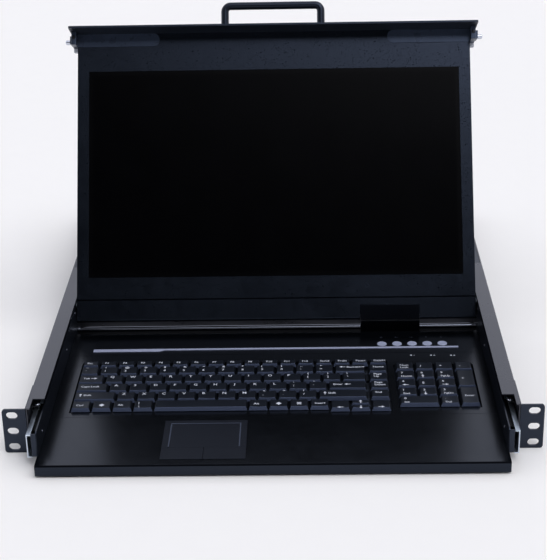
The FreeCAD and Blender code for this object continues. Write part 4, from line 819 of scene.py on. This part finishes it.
@dataclass
class RearPorts:
    """Sockets, switch and marks of the rear panel; u runs from the middle towards the panel's right."""

    jack_columns: tuple[float, ...] = (-132.95, -148.45, -163.95, -179.45, 66.5, 87.9)
    jack_rows: Span = (17.5, 27.9)
    contact_pitch: float = 1.02
    contacts: int = 8
    earth: Span = (205.2, 14.7)
    reset: Span = (-196.7, 14.7)
    video: Span = (124.3, 35.8)
    socket_first: float = 106.2
    socket_pitch: float = 11.55
    sockets: int = 4
    tongue_face: float = 0.75
    tongue_middle: float = 19.65
    tongue_pitch: float = 2.4
    tongue_run: Span = (550.0, 558.6)
    rocker: float = -185.9
    wire_run: Span = (-9.0, -2.0)
    wire_offset: float = 1.9
    wire_slope: float = 14.0
    hole_pitch: Span = (2.3, 2.0)
    hole_face: float = 4.8
    panel_screws: tuple[float, ...] = (-211.0, -110.0, 30.0, 212.0)
    panel_screw_v: float = 38.0
    panel_head: Span = (2.2, 0.8)
    earth_head: Span = (3.1, 1.2)
    inner_depth: float = 0.2
    sign_size: float = 4.0
    sign_drop: float = 1.4
    number_size: float = 4.2
    number_rows: Span = (4.6, 37.0)

    def build(self) -> None:
        """Makes the panel and everything on it."""
        skin("rear_panel")
        for node in ("kvm_port_block", "net_port_pairs"):
            skin(node, (SHIELD, BLACK), 0.25, pick=self.inside_of(node))
        skin("usb_ports", (ZINC,), 0.15)
        dress("vga_port")
        skin("vga_insert", ease=0.25)
        skin("power_inlet", ease=0.4)
        dress("inlet_pins")
        skin("rocker_switch", ease=0.4, shortest=4.0)
        self.jack_contacts()
        self.socket_contacts()
        self.rocker_marks()
        self.video_holes()
        self.fasteners()
        self.marks()

    def inside_of(self, node: str) -> Callable[[Face], int]:
        """Tells a socket's inner faces from its outer ones.

        Args:
            node: the node's name.

        Returns:
            A function that gives 1 for a face inside the node's box and 0 for one on it.
        """
        boxes = islands(node)

        def pick(face: Face) -> int:
            """Gives 1 for an inner face."""
            middle, depth = face.calc_center_median(), self.inner_depth
            return int(any(all(least + depth < here < most - depth
                               for least, here, most in zip(low, middle, high)) for low, high in boxes))

        return pick

    def jack_contacts(self) -> None:
        """Lays eight sprung contacts in each jack, on the side away from the latch."""
        wires = Piece("jack_contacts", "chassis", (GOLD,), "jack_shield", REAR)
        for u in self.jack_columns:
            for row, v in enumerate(self.jack_rows):
                away = 1 if row == 0 else -1
                turn = Matrix.Rotation(math.radians(self.wire_slope * away), 4, "X")
                height = v + away * self.wire_offset
                low, high = height - 0.12, height + 0.12
                back, front = self.wire_run
                for number in range(self.contacts):
                    middle = u + (number - (self.contacts - 1) / 2) * self.contact_pitch
                    wires.box((middle - 0.2, low, back), (middle + 0.2, high, front), turn=turn)
        wires.done()

    def socket_contacts(self) -> None:
        """Lays four flat contacts on the tongue of each upright socket."""
        strips = Piece("socket_contacts", "chassis", (GOLD,), "jack_shield")
        for number in range(self.sockets):
            face = -self.socket_first - number * self.socket_pitch + self.tongue_face
            for step in (-1.5, -0.5, 0.5, 1.5):
                middle = self.tongue_middle + self.tongue_pitch * step
                back, front = self.tongue_run
                strips.box((face - 0.08, back, middle - 0.5), (face + 0.02, front, middle + 0.5))
        strips.done()

    def rocker_marks(self) -> None:
        """Marks the two halves of the switch's rocker."""
        node = "rocker_switch"
        halves = (("I", (self.rocker, 564.06, 28.84), (0, 0.287, 0.958)),
                  ("O", (self.rocker, 562.78, 19.72), (0, -0.011, 1)))
        for sign, middle, up in halves:
            place = tilted(middle, (-1, 0, 0), up)
            mark = Piece(f"rocker_mark_{sign}", BODY_OF[node], (INK,), SLOT_OF[node], place)
            work = written(sign, self.sign_size)
            mark.join(work, Matrix.Translation((-sum(ends_across(work)) / 2, -self.sign_drop, 0)))
            mark.done()

    def video_holes(self) -> None:
        """Sets the fifteen contact holes in the video socket as dark discs, painted shade in the holes."""
        holes = Piece("video_socket_holes", "chassis", (SHADE,), "black_plastic", REAR)
        for row in range(3):
            for column in range(5):
                u = self.video[0] + (column - 2) * self.hole_pitch[0] + (0.0 if row == 1 else 0.6)
                v = self.video[1] + (row - 1) * self.hole_pitch[1]
                holes.lathe(((0.55, 0.0), (0.55, 0.06), (0.0, 0.06)), (u, v, self.hole_face), steps=10)
        holes.done()

    def fasteners(self) -> None:
        """Fits the earth screw with its washer, the panel's screws and the reset button."""
        bright = Piece("earth_screw", "chassis", (ZINC,), "zinc", REAR)
        bright.lathe(((2.0, -0.3), (4.0, -0.3), (4.0, 0.6), (3.7, 0.8), (2.0, 0.8)), (*self.earth, 0),
                     steps=28)
        bright.screw((*self.earth, 0.8), (0, 0, 1), *self.earth_head)
        bright.done()
        heads = Piece("rear_panel_screws", "chassis", (SCREW_BLACK,), "black_coat", REAR)
        for u in self.panel_screws:
            heads.screw((u, self.panel_screw_v, 0), (0, 0, 1), *self.panel_head)
        heads.done()
        button = Piece("reset_button", "chassis", (BLACK, SHADE), "black_plastic", REAR)
        button.lathe(((2.2, -0.2), (2.2, 0.25), (1.9, 0.35), (1.2, 0.35), (1.2, 0.1)), (*self.reset, 0))
        # A dark disc in the button's middle: painted shade in its hole.
        button.lathe(((1.3, 0.02), (1.3, 0.1), (0.0, 0.1)), (*self.reset, 0), finish=1)
        button.done()

    def marks(self) -> None:
        """Writes the port numbers above and below the jacks."""
        numbers = Piece("port_numbers", "chassis", (INK,), "black_coat", REAR)
        for column, u in enumerate(self.jack_columns[:4]):
            for row, v in enumerate(self.number_rows):
                work = written(str(2 * column + 2 - row), self.number_size)
                numbers.join(work, Matrix.Translation((u - 1.2, v, 0.03)))
        numbers.done()


@dataclass
class Slides:
    """Two telescopic slides with their ball cages."""

    ball_largest: float = 4.0
    stud: Triple = (213.8, 25.2, 35.5)
    end_plate: tuple[float, float, float, float] = (206.9, 211.4, 12.8, 35.4)
    inner_front: float = -28.0
    inner_front_seen: float = -6.0
    blade: float = 210.5
    blade_seen: float = 212.8

    def build(self) -> None:
        """Makes the members with their studs and end plates, and the cages with round balls."""
        for side in SIDE_NAMES:
            # The outer and inner members take a darkened copy of the slide steel as painted shade; the middle
            # one stays bright zinc.
            skin(f"slide_outer_{side}", (SLIDE_PAINTED_SHADE,), 0.25)
            skin(f"slide_middle_{side}", (ZINC,), 0.25, reshape=self.narrow_blades)
            skin(f"slide_inner_{side}", (SLIDE_PAINTED_SHADE,), 0.25, reshape=self.short_front)
            for member in ("outer", "inner"):
                self.cage(f"ball_cage_{member}_{side}")
        for side, name in zip(SIDES, SIDE_NAMES):
            x, y, z = self.stud
            stud = Piece(f"slide_stud_{name}", BODY_OF[f"slide_outer_{name}"], (BRIGHT,), "zinc")
            stud.lathe(((2.3, -0.2), (2.3, 0.3), (1.9, 0.9), (1.0, 1.3), (0.0, 1.4)), (side * x, y, z),
                       steps=20)
            stud.done()
            near, far, low, high = self.end_plate
            ends = sorted((side * near, side * far))
            plate = Piece(f"slide_end_plate_{name}", BODY_OF[f"slide_inner_{name}"], (COAT,), "black_coat")
            plate.box((ends[0], self.inner_front - 1.2, low), (ends[1], self.inner_front + 0.1, high), 0.3)
            plate.done()

    def narrow_blades(self, work: Mesh) -> None:
        """Draws the edges of a middle member's blades out, towards the chassis wall.

        Args:
            work: the copy of the member.
        """
        for vert in work.verts:
            if abs(vert.co.x) < self.blade + NEAR:
                vert.co.x = math.copysign(self.blade_seen, vert.co.x)

    def short_front(self, work: Mesh) -> None:
        """Draws the front end of an inner member back, behind the end plate.

        Args:
            work: the copy of the member.
        """
        for vert in work.verts:
            if vert.co.y < self.inner_front + NEAR:
                vert.co.y = self.inner_front_seen

    def cage(self, node: str) -> None:
        """Stands for a cage: its strips with their balls.

        Args:
            node: the node's name.
        """
        piece = Piece(f"{node}_run", BODY_OF[node], (ZINC, BRIGHT), SLOT_OF[node])
        for low, high in islands(node):
            size = high - low
            if max(size) < self.ball_largest:
                work = bmesh.new()
                bmesh.ops.create_uvsphere(work, u_segments=14, v_segments=8, radius=max(size) / 2)
                piece.join(work, Matrix.Translation((low + high) / 2), 1)
            else:
                piece.box(low, high, 0.15)
        piece.done(node)


@dataclass
class Tray:
    """Drawer pan, keyboard deck, display controls and tie rod."""

    rod: Triple = (231.4, 10.0, 2.8)
    control_first: float = 106.9
    control_pitch: float = 15.15
    control_count: int = 5
    control_y: float = 185.2
    control_radius: float = 4.85
    film_top: float = 12.6
    control_rise: float = 0.6
    control_marks: float = 200.0
    lamps: tuple[Span, ...] = ((134.6, 161.0), (154.3, 160.5), (174.0, 160.0))
    deck_top: float = 12.0
    front_seam: float = 42.0
    wall: float = 206.5
    wall_screws: tuple[Span, ...] = ((0.8, 21.6), (159.4, 22.6), (223.6, 32.0))
    wall_head: Span = (1.6, 0.6)
    pan_floor: float = 5.0
    sign_size: float = 3.0
    mark_size: float = 2.6
    ink_rise: float = 0.03

    def build(self) -> None:
        """Makes the sheet metal, the control strip and the rod."""
        skin("tray_pan", (COAT, PAINTED_SHADE_SHEET), pick=self.on_floor)
        skin("keyboard_deck", (DECK_COAT, PAINTED_SHADE_SHEET), 0.4, pick=self.in_bend)
        skin("osd_overlay", ease=0.12, shortest=20.0)
        skin("osd_trim", ease=0.2)
        skin("cable_box", (BLOCK,), 0.5)
        skin("keyboard_base", ease=0.0)
        self.controls()
        self.tie_rod()
        self.screws()
        self.indicator_marks()
        self.seam()

    def on_floor(self, face: Face) -> int:
        """Gives 1 for a face on the pan's floor, which takes the near-black painted shade."""
        return int(face.normal.z > 0.9 and face.verts[0].co.z < self.pan_floor)

    def in_bend(self, face: Face) -> int:
        """Gives 1 for a face in the bend over the deck's front lip, which takes the near-black painted shade.
        """
        return int(face.normal.y < -0.2 and face.normal.z > 0.2)

    def controls(self) -> None:
        """Turns the five disc buttons, each with a ring and a low dome."""
        for number in range(self.control_count):
            node = f"osd_button_{number + 1}"
            x = self.control_first + number * self.control_pitch
            r, h = self.control_radius, self.control_rise
            disc = Piece(f"control_disc_{number + 1}", BODY_OF[node], (SILVER,), "silver")
            disc.lathe(((r, -2.6), (r, h - 0.45), (r - 0.15, h - 0.15), (r - 0.45, h), (r - 0.8, h),
                        (r - 0.95, h - 0.12), (r - 1.1, h - 0.12), (0.5 * r, h - 0.02), (0.0, h)),
                       (x, self.control_y, self.film_top), steps=40)
            disc.done(node)

    def tie_rod(self) -> None:
        """Turns the bright rod behind the deck."""
        y, z, radius = self.rod
        rod = Piece("tie_rod_turned", "drawer", (ROD,), "bright_rod")
        length, waist = 2 * self.wall, radius - 0.3
        rod.lathe(((0.0, 0.0), (waist, 0.0), (radius, 0.3), (radius, length - 0.3), (waist, length),
                   (0.0, length)), (-self.wall, y, z), (1, 0, 0), steps=32)
        rod.done("tie_rod")

    def screws(self) -> None:
        """Puts screws on the inner faces of the tray's walls."""
        heads = Piece("tray_wall_screws", "drawer", (ROD,), "zinc")
        for side in SIDES:
            for y, z in self.wall_screws:
                heads.screw((side * self.wall, y, z), (-side, 0, 0), *self.wall_head)
        heads.done()

    def seam(self) -> None:
        """Draws the fine seam across the deck in front of the keys as a dark strip, painted shade in the
        seam.
        """
        line = Piece("deck_front_seam", "drawer", (PAINTED_SHADE_SHEET,), "black_coat")
        reach, y, z = self.wall - 0.4, self.front_seam, self.deck_top
        line.box((-reach, y - 0.15, z - 0.1), (reach, y + 0.15, z + 0.02))
        line.done()

    def indicator_marks(self) -> None:
        """Draws the three lock lamps with plain marks beside them, and a faint mark behind each button."""
        lamps = Piece("indicator_marks", "drawer", (INK, FAINT_INK), "film")
        for (x, y), sign in zip(self.lamps, "1A#", strict=True):
            lamps.lathe(((1.0, 0.0), (1.0, 0.12), (0.6, 0.2), (0.0, 0.2)), (x, y, self.deck_top), steps=16)
            work = written(sign, self.sign_size)
            lamps.join(work, Matrix.Translation((x + 2.2, y - 1.0, self.deck_top + self.ink_rise)))
        for number, mark in enumerate((Mark.LIST, Mark.LEFT, Mark.RIGHT, Mark.UP, Mark.DOWN)):
            x = self.control_first + number * self.control_pitch
            spot = Matrix.Translation((x, self.control_marks, self.film_top + self.ink_rise))
            lamps.join(mark.drawn(self.mark_size), spot, 1)
        lamps.done()


@dataclass
class Keyboard:
    """Keycaps with dished tops and their legends, one piece for each row."""

    cap_height: float = 3.8
    side_taper: float = 1.5
    front_taper: float = 1.1
    back_taper: float = 2.1
    dish: float = 0.4
    dish_cuts: tuple[float, ...] = (-0.66, -0.33, 0.0, 0.33, 0.66)
    wide_cap: float = 30.0
    bar_half: float = 1.6
    bar_rows: Span = (3.0, 3.7)
    bar_depths: Span = (0.5, 0.12)
    edge: float = 0.5
    inset: float = 4.7
    ink_rise: float = 0.03
    letter: float = 5.2
    symbol: float = 4.5
    word: float = 4.2
    far_lines: float = 6.8
    near_lines: float = 4.6
    letter_shift: float = 3.4
    word_shift: float = 0.8
    row_shifts: dict[str, float] = field(default_factory=lambda: {
        "keys_number": 2.4, "keys_bottom": -0.8, "keys_nav": 2.2, "keys_numpad": -1.0})
    arrow_shifts: dict[str, float] = field(default_factory=lambda: {
        "LEFT": -5.2, "RIGHT": -5.2, "UP": 0.6, "DOWN": -0.9})
    caps: dict[Triple, bpy.types.Mesh] = field(default_factory=dict)

    def legends(self) -> dict[str, list[str]]:
        """Gives each row's legends, from the back to the front and from left to right.

        Returns:
            The legends by node: lines are split by line ends, and a line's words and arrows by spaces.
        """
        function = ["Esc", *(f"F{number}" for number in range(1, 13)), "ScrLk", "PrtSc", "Pause", "Delete"]
        pairs = "~` !1 @2 #3 $4 %5 ^6 &7 *8 (9 )0 _- +=".split()
        pad = ("Num\nLock,/,*,-,7\nHome,8\nUP,9\nPgUp,+,4\nLEFT,5,6\nRIGHT,"
               "1\nEnd,2\nDOWN,3\nPgDn,Enter,0\nIns,.\nDel")
        return {
            "keys_function": function,
            "keys_number": ["\n".join(pair) for pair in pairs] + ["LEFT Backspace"],
            "keys_upper": ["Tab RIGHT", *"QWERTYUIOP", "{\n[", "}\n]", "|\n\\"],
            "keys_home": ["Caps Lock", *"ASDFGHJKL", ":\n;", "\"\n'", "Enter LEFT"],
            "keys_lower": ["UP Shift", *"ZXCVBNM", "<\n,", ">\n.", "?\n/", "UP Shift"],
            "keys_bottom": ["Ctrl", "BLOCK", "Alt", "|\n\\", "Alt", "BLOCK", "LIST", "Insert"],
            "space_bar": [""],
            "keys_nav": ["Home", "Page\nUp", "Page\nDown", "End", "LEFT", "UP", "RIGHT", "DOWN"],
            "keys_numpad": pad.split(","),
        }

    def build(self) -> None:
        """Makes each row's caps and legends."""
        for row, legends in self.legends().items():
            caps = Piece(f"{row}_caps", BODY_OF[row], (CAP_TOP, CAP_FRONT_PAINTED_LIGHT, CAP_SIDE_PAINTED_SHADE), "keycap")
            ink = Piece(f"{row}_legends", BODY_OF[row], (INK,), "keycap")
            boxes = islands(row)
            for (low, high), legend in zip(boxes, legends, strict=True):
                hollow = 0.0 if high.x - low.x > self.wide_cap else self.dish
                caps.join(self.cap(high.x - low.x, high.y - low.y, hollow),
                          Matrix.Translation(((low.x + high.x) / 2, (low.y + high.y) / 2, high.z)))
                self.write(ink, low, high, legend, hollow, self.shift(row, legend))
                if legend in ("F", "J"):
                    middle = (low.x + high.x) / 2
                    (near, far), (under, over) = self.bar_rows, self.bar_depths
                    caps.box((middle - self.bar_half, low.y + near, high.z - under),
                             (middle + self.bar_half, low.y + far, high.z - over), 0.12)
            caps.done(row, sharp=50.0)
            if len(ink.mesh.verts):
                ink.done()

    def shift(self, row: str, legend: str) -> float:
        """Gives how far a legend stands behind the middle of its cap.

        Args:
            row: the node of its row.
            legend: its lines.

        Returns:
            The distance in millimetres, less than zero when it stands in front.
        """
        if row == "keys_nav" and legend in self.arrow_shifts:
            return self.arrow_shifts[legend]
        if row in self.row_shifts:
            return self.row_shifts[row]
        return self.letter_shift if min(len(line) for line in legend.split("\n")) == 1 else self.word_shift

    def hollow_at(self, x: float, half: float, hollow: float) -> float:
        """Gives how deep the dish is at a distance from the middle of the cap's top."""
        return hollow * max(0.0, 1 - (x / half) ** 2)

    def cap(self, width: float, depth: float, hollow: float) -> Mesh:
        """Makes one keycap, the top's middle at zero.

        Args:
            width: its width at the foot.
            depth: its depth at the foot.
            hollow: how far the top is dished.

        Returns:
            The cap, with its top, its front slope lighter as painted light and its other sides darker as
            painted shade, in three finishes.
        """
        key = (round(width, 1), round(depth, 1), hollow)
        if key not in self.caps:
            work = bmesh.new()
            bmesh.ops.create_cube(work, size=1.0)
            bmesh.ops.scale(work, vec=(width, depth, self.cap_height), verts=work.verts)
            bmesh.ops.translate(work, vec=(0, 0, -self.cap_height / 2), verts=work.verts)
            for vert in work.verts:
                if vert.co.z > -NEAR:
                    vert.co.x -= math.copysign(self.side_taper, vert.co.x)
                    vert.co.y += self.front_taper if vert.co.y < 0 else -self.back_taper
            edges = [edge for edge in work.edges if max(vert.co.z for vert in edge.verts) > -NEAR]
            round_over(work, edges, self.edge)
            for face in work.faces:
                # The top keeps the cap's colour; the front slope takes painted light and the other sides
                # painted shade.
                face.material_index = 0 if face.normal.z > 0.8 else 1 if face.normal.y < -0.5 else 2
            half = width / 2 - self.side_taper
            if hollow:
                for share in self.dish_cuts:
                    whole = work.verts[:] + work.edges[:] + work.faces[:]
                    bmesh.ops.bisect_plane(work, geom=whole, dist=0.001, plane_co=(share * half, 0, 0),
                                           plane_no=(1, 0, 0))
                for vert in work.verts:
                    if vert.co.z > -self.edge - 0.05:
                        vert.co.z -= self.hollow_at(vert.co.x, half, hollow)
            mesh = bpy.data.meshes.new("cap")
            work.to_mesh(mesh)
            work.free()
            self.caps[key] = mesh
        copy = bmesh.new()
        copy.from_mesh(self.caps[key])
        return copy

    def write(self, ink: Piece, low: Vector, high: Vector, legend: str, hollow: float, shift: float) -> None:
        """Writes one key's legend on its top, following the dish.

        Args:
            ink: the row's legends.
            low: the cap's lowest corner.
            high: the cap's highest corner.
            legend: its lines.
            hollow: how far the top is dished.
            shift: how far it stands behind the cap's middle.
        """
        half = (high.x - low.x) / 2 - self.side_taper
        middle = (low.x + high.x) / 2
        lines = legend.split("\n")
        single = min(len(line) for line in lines) == 1
        pitch = self.far_lines if single else self.near_lines
        centre = (low.y + self.front_taper + high.y - self.back_taper) / 2
        centre += (len(lines) - 1) / 2 * pitch + shift
        for number, line in enumerate(lines):
            size = self.word
            if len(line) == 1:
                size = self.letter if len(lines) == 1 else self.symbol
            work = self.line(line, size)
            if not work.verts:
                work.free()
                continue
            left = low.x + self.inset
            if legend in Mark.__members__:
                left = middle - ends_across(work)[1] / 2
            bmesh.ops.translate(work, vec=(left, centre - number * pitch, 0), verts=work.verts)
            for vert in work.verts:
                vert.co.z = high.z + self.ink_rise - self.hollow_at(vert.co.x - middle, half, hollow)
            ink.join(work)

    def line(self, line: str, size: float) -> Mesh:
        """Sets one line of words and marks.

        Args:
            line: the words and the names of marks, split by spaces.
            size: the height of the type.

        Returns:
            The line, its left end at zero and its middle height at zero.
        """
        row = Piece("line", "", ())
        start = 0.0
        for token in line.split():
            mark = Mark.__members__.get(token)
            work = mark.drawn(size) if mark else written(token, size)
            shift = start - ends_across(work)[0]
            drop = 0.0 if mark else -0.35 * size
            bmesh.ops.translate(work, vec=(shift, drop, 0), verts=work.verts)
            start = ends_across(work)[1] + 0.3 * size
            row.join(work)
        return row.mesh


@dataclass
class Touchpad:
    """Touch surface in a raised frame, over two buttons that close up to it."""

    line_height: float = 12.6
    closing: float = 0.22

    def on_line(self, face: Face) -> int:
        """Gives 1 for a face of the raised guide lines, which takes a lighter painted highlight."""
        return int(face.calc_center_median().z > self.line_height)

    def build(self) -> None:
        """Makes the pad and its buttons."""
        skin("touchpad", (PAD, LINE_HIGHLIGHT_PAINT), 0.12, pick=self.on_line)
        for side in SIDE_NAMES:
            node = f"pad_button_{side}"
            low, high = islands(node)[0]
            button = Piece(f"{node}_cap", BODY_OF[node], (PAD,), SLOT_OF[node])
            button.box(low, high + Vector((0, self.closing, 0)), 0.1)
            button.done(node)


@dataclass
class Screen:
    """Folding screen with its front panel, handle and latches; x runs across, v up and w out of the face."""

    bar_radius: float = 4.0
    bar_facets: int = 20
    bend_facets: int = 8
    leg: float = 50.0
    handle_w: float = 13.35
    foot: float = 285.9
    crest: float = 310.3
    bend: float = 6.0
    border: float = 4.2
    bolt: Triple = (278.2, -2.9, 2.5)
    bolt_ends: Span = (199.0, 219.6)
    bracket: Span = (205.0, 210.2)
    bracket_foot: float = 270.2
    bracket_reach: Span = (1.2, 20.0)
    bracket_screw: Span = (207.6, 277.8)
    bracket_head: Span = (2.1, 0.7)
    shell_head: Span = (2.2, 0.5)
    lug: Span = (266.8, 275.0)
    lug_reach: Span = (-5.0, 1.0)
    shell_screws: tuple[float, ...] = (40.0, 150.0, 262.0)
    shell_screw_x: float = 196.0
    shell_back: float = -7.4
    panel_v: float = 283.9
    crease: Span = (2.9, 4.7)
    upward: Vector = field(default_factory=lambda: Vector((0, 0.5, 0.866)))

    def build(self) -> None:
        """Makes the housing, the display and the front panel with its handle."""
        skin("screen_shell", ease=0.5)
        skin("screen_bezel", (BEZEL_COAT, PAINTED_SHADE_SHEET), 0.35, pick=self.in_crease)
        skin("cable_cover", (BLOCK, LINE_HIGHLIGHT_PAINT), 0.3, pick=self.on_top)
        skin("fascia_panel", (PANEL_COAT,), 0.4)
        skin("latch_housings", (STRIP_COAT,), 0.3)
        dress("hinge_pins")
        self.display()
        self.handle()
        self.bolts()
        self.brackets()
        self.screws()

    def on_top(self, face: Face) -> int:
        """Gives 1 for a face that looks up along the screen, which takes a lighter painted highlight."""
        return int(face.normal.dot(self.upward) > 0.8)

    def in_crease(self, face: Face) -> int:
        """Tells the faces in the crease across the chin, which take the near-black painted shade.

        Args:
            face: a face of the bezel.

        Returns:
            1 for a face in the crease and 0 for another.
        """
        _, v, w = SCREEN.inverted() @ ROOM @ face.calc_center_median()
        low, high = self.crease
        return int(low < v < high and w > 0)

    def display(self) -> None:
        """Makes the display with a dark mask round its picture area."""
        work = merged("screen_glass")
        join_flat(work)
        work.faces.ensure_lookup_table()
        face = max((f for f in work.faces if f.normal.y <= 0), key=lambda f: f.calc_area())
        bmesh.ops.inset_region(work, faces=[face], thickness=self.border, use_even_offset=True)
        for other in work.faces:
            other.material_index = 0 if other is face else 1
        glass = Piece("display", "screen", (DISPLAY, DISPLAY_EDGE), "panel")
        glass.join(work)
        glass.done("screen_glass")

    def handle(self) -> None:
        """Bends the round bar of the handle."""
        bar = Piece("pull_handle_bar", "screen", (HANDLE_COAT,), "black_coat", SCREEN)
        work = bar.mesh
        ring = bmesh.ops.create_circle(work, segments=self.bar_facets, radius=self.bar_radius)["verts"]
        turn_about(work, ring, 90, "X")
        bmesh.ops.translate(work, vec=(-self.leg, self.foot, self.handle_w), verts=ring)
        edges = list({edge for vert in ring for edge in vert.link_edges})
        turn_height = self.crest - self.bend
        edges = self.straight(work, edges, (0, turn_height - self.foot, 0))
        edges = self.corner(work, edges, (-self.leg + self.bend, turn_height, self.handle_w))
        edges = self.straight(work, edges, (2 * (self.leg - self.bend), 0, 0))
        edges = self.corner(work, edges, (self.leg - self.bend, turn_height, self.handle_w))
        self.straight(work, edges, (0, self.foot - turn_height, 0))
        bmesh.ops.remove_doubles(work, verts=work.verts, dist=0.001)
        bmesh.ops.holes_fill(work, edges=work.edges, sides=0)
        bmesh.ops.recalc_face_normals(work, faces=work.faces)
        for side in SIDES:
            bar.lathe(((4.0, 0.0), (6.2, 0.0), (6.2, 0.9), (5.8, 1.3), (4.0, 1.3)),
                      (side * self.leg, self.foot, self.handle_w), (0, 1, 0), steps=28)
        bar.done("pull_handle")

    def straight(self, work: Mesh, edges: list[Edge], run: Point) -> list[Edge]:
        """Draws a ring of edges out along a straight run.

        Args:
            work: the bar's mesh.
            edges: the ring at its end.
            run: how far it goes.

        Returns:
            The new end's ring.
        """
        made = bmesh.ops.extrude_edge_only(work, edges=edges)["geom"]
        bmesh.ops.translate(work, vec=run, verts=only(Vert, made))
        return only(Edge, made)

    def corner(self, work: Mesh, edges: list[Edge], centre: Point) -> list[Edge]:
        """Spins a ring of edges round a quarter bend, to the right.

        Args:
            work: the bar's mesh.
            edges: the ring at its end.
            centre: the bend's centre.

        Returns:
            The new end's ring.
        """
        made = bmesh.ops.spin(work, geom=edges, cent=centre, axis=(0, 0, 1), dvec=(0, 0, 0),
                              angle=-math.pi / 2, steps=self.bend_facets)
        return only(Edge, made["geom_last"])

    def bolts(self) -> None:
        """Turns the two latch bolts with rounded noses."""
        v, w, r = self.bolt
        start, end = self.bolt_ends
        length = end - start
        for side, name in zip(SIDES, SIDE_NAMES):
            node = f"latch_bolt_{name}"
            bolt = Piece(f"{node}_turned", BODY_OF[node], (BRIGHT,), "zinc", SCREEN)
            foot, out = (side * start, v, w), (side, 0, 0)
            bolt.lathe(((0.0, 0.0), (r, 0.0), (r, length - 1.4), (0.86 * r, length - 0.7),
                        (0.5 * r, length - 0.15), (0.0, length)), foot, out)
            bolt.lathe(((r, 6.6), (3.4, 6.6), (3.6, 6.9), (3.6, 8.0), (3.4, 8.3), (r, 8.3)), foot, out)
            bolt.done(node)

    def brackets(self) -> None:
        """Sets the bracket that stands out before each latch block, with a pale spring lug under it."""
        brackets = Piece("latch_brackets", "screen", (STRIP_COAT, PALE), "black_coat", SCREEN)
        near, far = self.bracket
        for side in SIDES:
            ends = sorted((side * near, side * far))
            for (low, high), (back, front), finish in (
                    ((self.bracket_foot, self.panel_v), self.bracket_reach, 0),
                    (self.lug, self.lug_reach, 1)):
                brackets.box((ends[0], low, back), (ends[1], high, front), 0.6, finish)
        brackets.done()

    def screws(self) -> None:
        """Puts the screws of the latch brackets and of the shell."""
        heads = Piece("screen_screws", "screen", (SCREW_BLACK,), "black_coat", SCREEN)
        for side in SIDES:
            x, v = self.bracket_screw
            heads.screw((side * x, v, self.bracket_reach[1]), (0, 0, 1), *self.bracket_head)
            for v in self.shell_screws:
                heads.screw((side * self.shell_screw_x, v, self.shell_back), (0, 0, -1), *self.shell_head)
        heads.done()


@dataclass
class Studio:
    """Pale floor, soft key light and a pale surround, with a dark drape and a softbox behind the camera."""

    floor_reach: float = 9.0
    surround: float = 1.0
    key_strength: float = 0.85
    drape: float = 0.02
    softbox: float = 7.5
    sky: Tone = (240, 242, 252)
    behind: Span = (-0.15, -0.6)
    drape_rise: Span = (0.12, 0.3)
    softbox_rise: Span = (0.64, 0.75)
    softbox_sides: tuple[Span, Span] = ((-0.24, 0.45), (0.5, 0.3))
    key_angle: float = 50.0
    key_way: Triple = (-0.5, 0.2, -1.0)

    def build(self) -> None:
        """Sets the floor, the light and the surround."""
        self.floor()
        self.key()
        self.world()
        bpy.context.scene.view_settings.view_transform = "Standard"

    def floor(self) -> None:
        """Lays the floor under the chassis."""
        work = bmesh.new()
        bmesh.ops.create_grid(work, x_segments=12, y_segments=12, size=self.floor_reach)
        bmesh.ops.translate(work, vec=(0, 0, -ORIGIN_ABOVE_FLOOR * MM), verts=work.verts)
        shape = bpy.data.meshes.new("studio_floor")
        work.to_mesh(shape)
        work.free()
        shape.materials.append(FLOOR_PAINT.material())
        linked("studio_floor", shape)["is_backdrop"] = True

    def key(self) -> None:
        """Hangs a broad soft key light over the right shoulder."""
        lamp = bpy.data.lights.new("key_light", "SUN")
        lamp.energy = self.key_strength
        lamp.angle = math.radians(self.key_angle)
        holder = linked("key_light", lamp)
        holder.rotation_euler = Vector(self.key_way).to_track_quat("-Z", "Y").to_euler()

    def world(self) -> None:
        """Lights all round: dark behind the camera above the horizon, but for an upper softbox."""
        world = bpy.data.worlds.new("pale_surround")
        bpy.context.scene.world = world
        world.use_nodes = True
        tree = world.node_tree
        axes = tree.nodes.new("ShaderNodeSeparateXYZ")
        tree.links.new(tree.nodes.new("ShaderNodeTexCoord").outputs["Generated"], axes.inputs[0])

        def step(axis: str, ends: Span) -> Socket:
            """Gives a smooth step along one axis of the direction."""
            return ranged(tree, axes.outputs[axis], ends, kind="SMOOTHSTEP")

        front = step("Y", self.behind)
        dark = product(tree, front, step("Z", self.drape_rise))
        level = blend(tree, self.surround, self.drape, dark)
        left, right = self.softbox_sides
        width = product(tree, step("X", left), step("X", right))
        lit = product(tree, product(tree, front, step("Z", self.softbox_rise)), width)
        background = tree.nodes["Background"]
        background.inputs["Color"].default_value = linear(self.sky)
        tree.links.new(blend(tree, level, self.softbox, lit), background.inputs["Strength"])


@dataclass
class PhotoCamera:
    """Camera at the photograph's viewing angle."""

    place: Triple = (0.0308766, -1.1696513, 0.6703734)
    aim: Triple = (0.0000641, 0.15, 0.0783439)
    roll: float = -0.0211213
    lens: float = 96.645

    def build(self) -> None:
        """Sets the scene's camera."""
        camera = bpy.data.cameras.new("photo_camera")
        camera.lens = self.lens
        camera.sensor_width = 36.0
        holder = linked("photo_camera", camera)
        holder.location = self.place
        look = (Vector(self.aim) - Vector(self.place)).to_track_quat("-Z", "Y")
        holder.rotation_mode = "QUATERNION"
        holder.rotation_quaternion = look @ Quaternion((0, 0, 1), self.roll)
        bpy.context.scene.camera = holder


def corners(box: Iterable[Iterable[float]]) -> list[list[float]]:
    """Gives a box's two corners as plain lists."""
    return [[float(value) for value in corner] for corner in box]


def main() -> None:
    """Builds the console drawer, the studio and the camera."""
    logging.basicConfig(level=logging.INFO, format="%(message)s")
    for assembly in (Chassis(), RearPorts(), Slides(), Tray(), Keyboard(), Touchpad(), Screen(), Studio(),
                     PhotoCamera()):
        LOG.info("building %s", type(assembly).__name__)
        assembly.build()
    {"cad": corners(CAD_BOX), "visual": corners(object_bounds())}


if __name__ == "__main__":
    main()
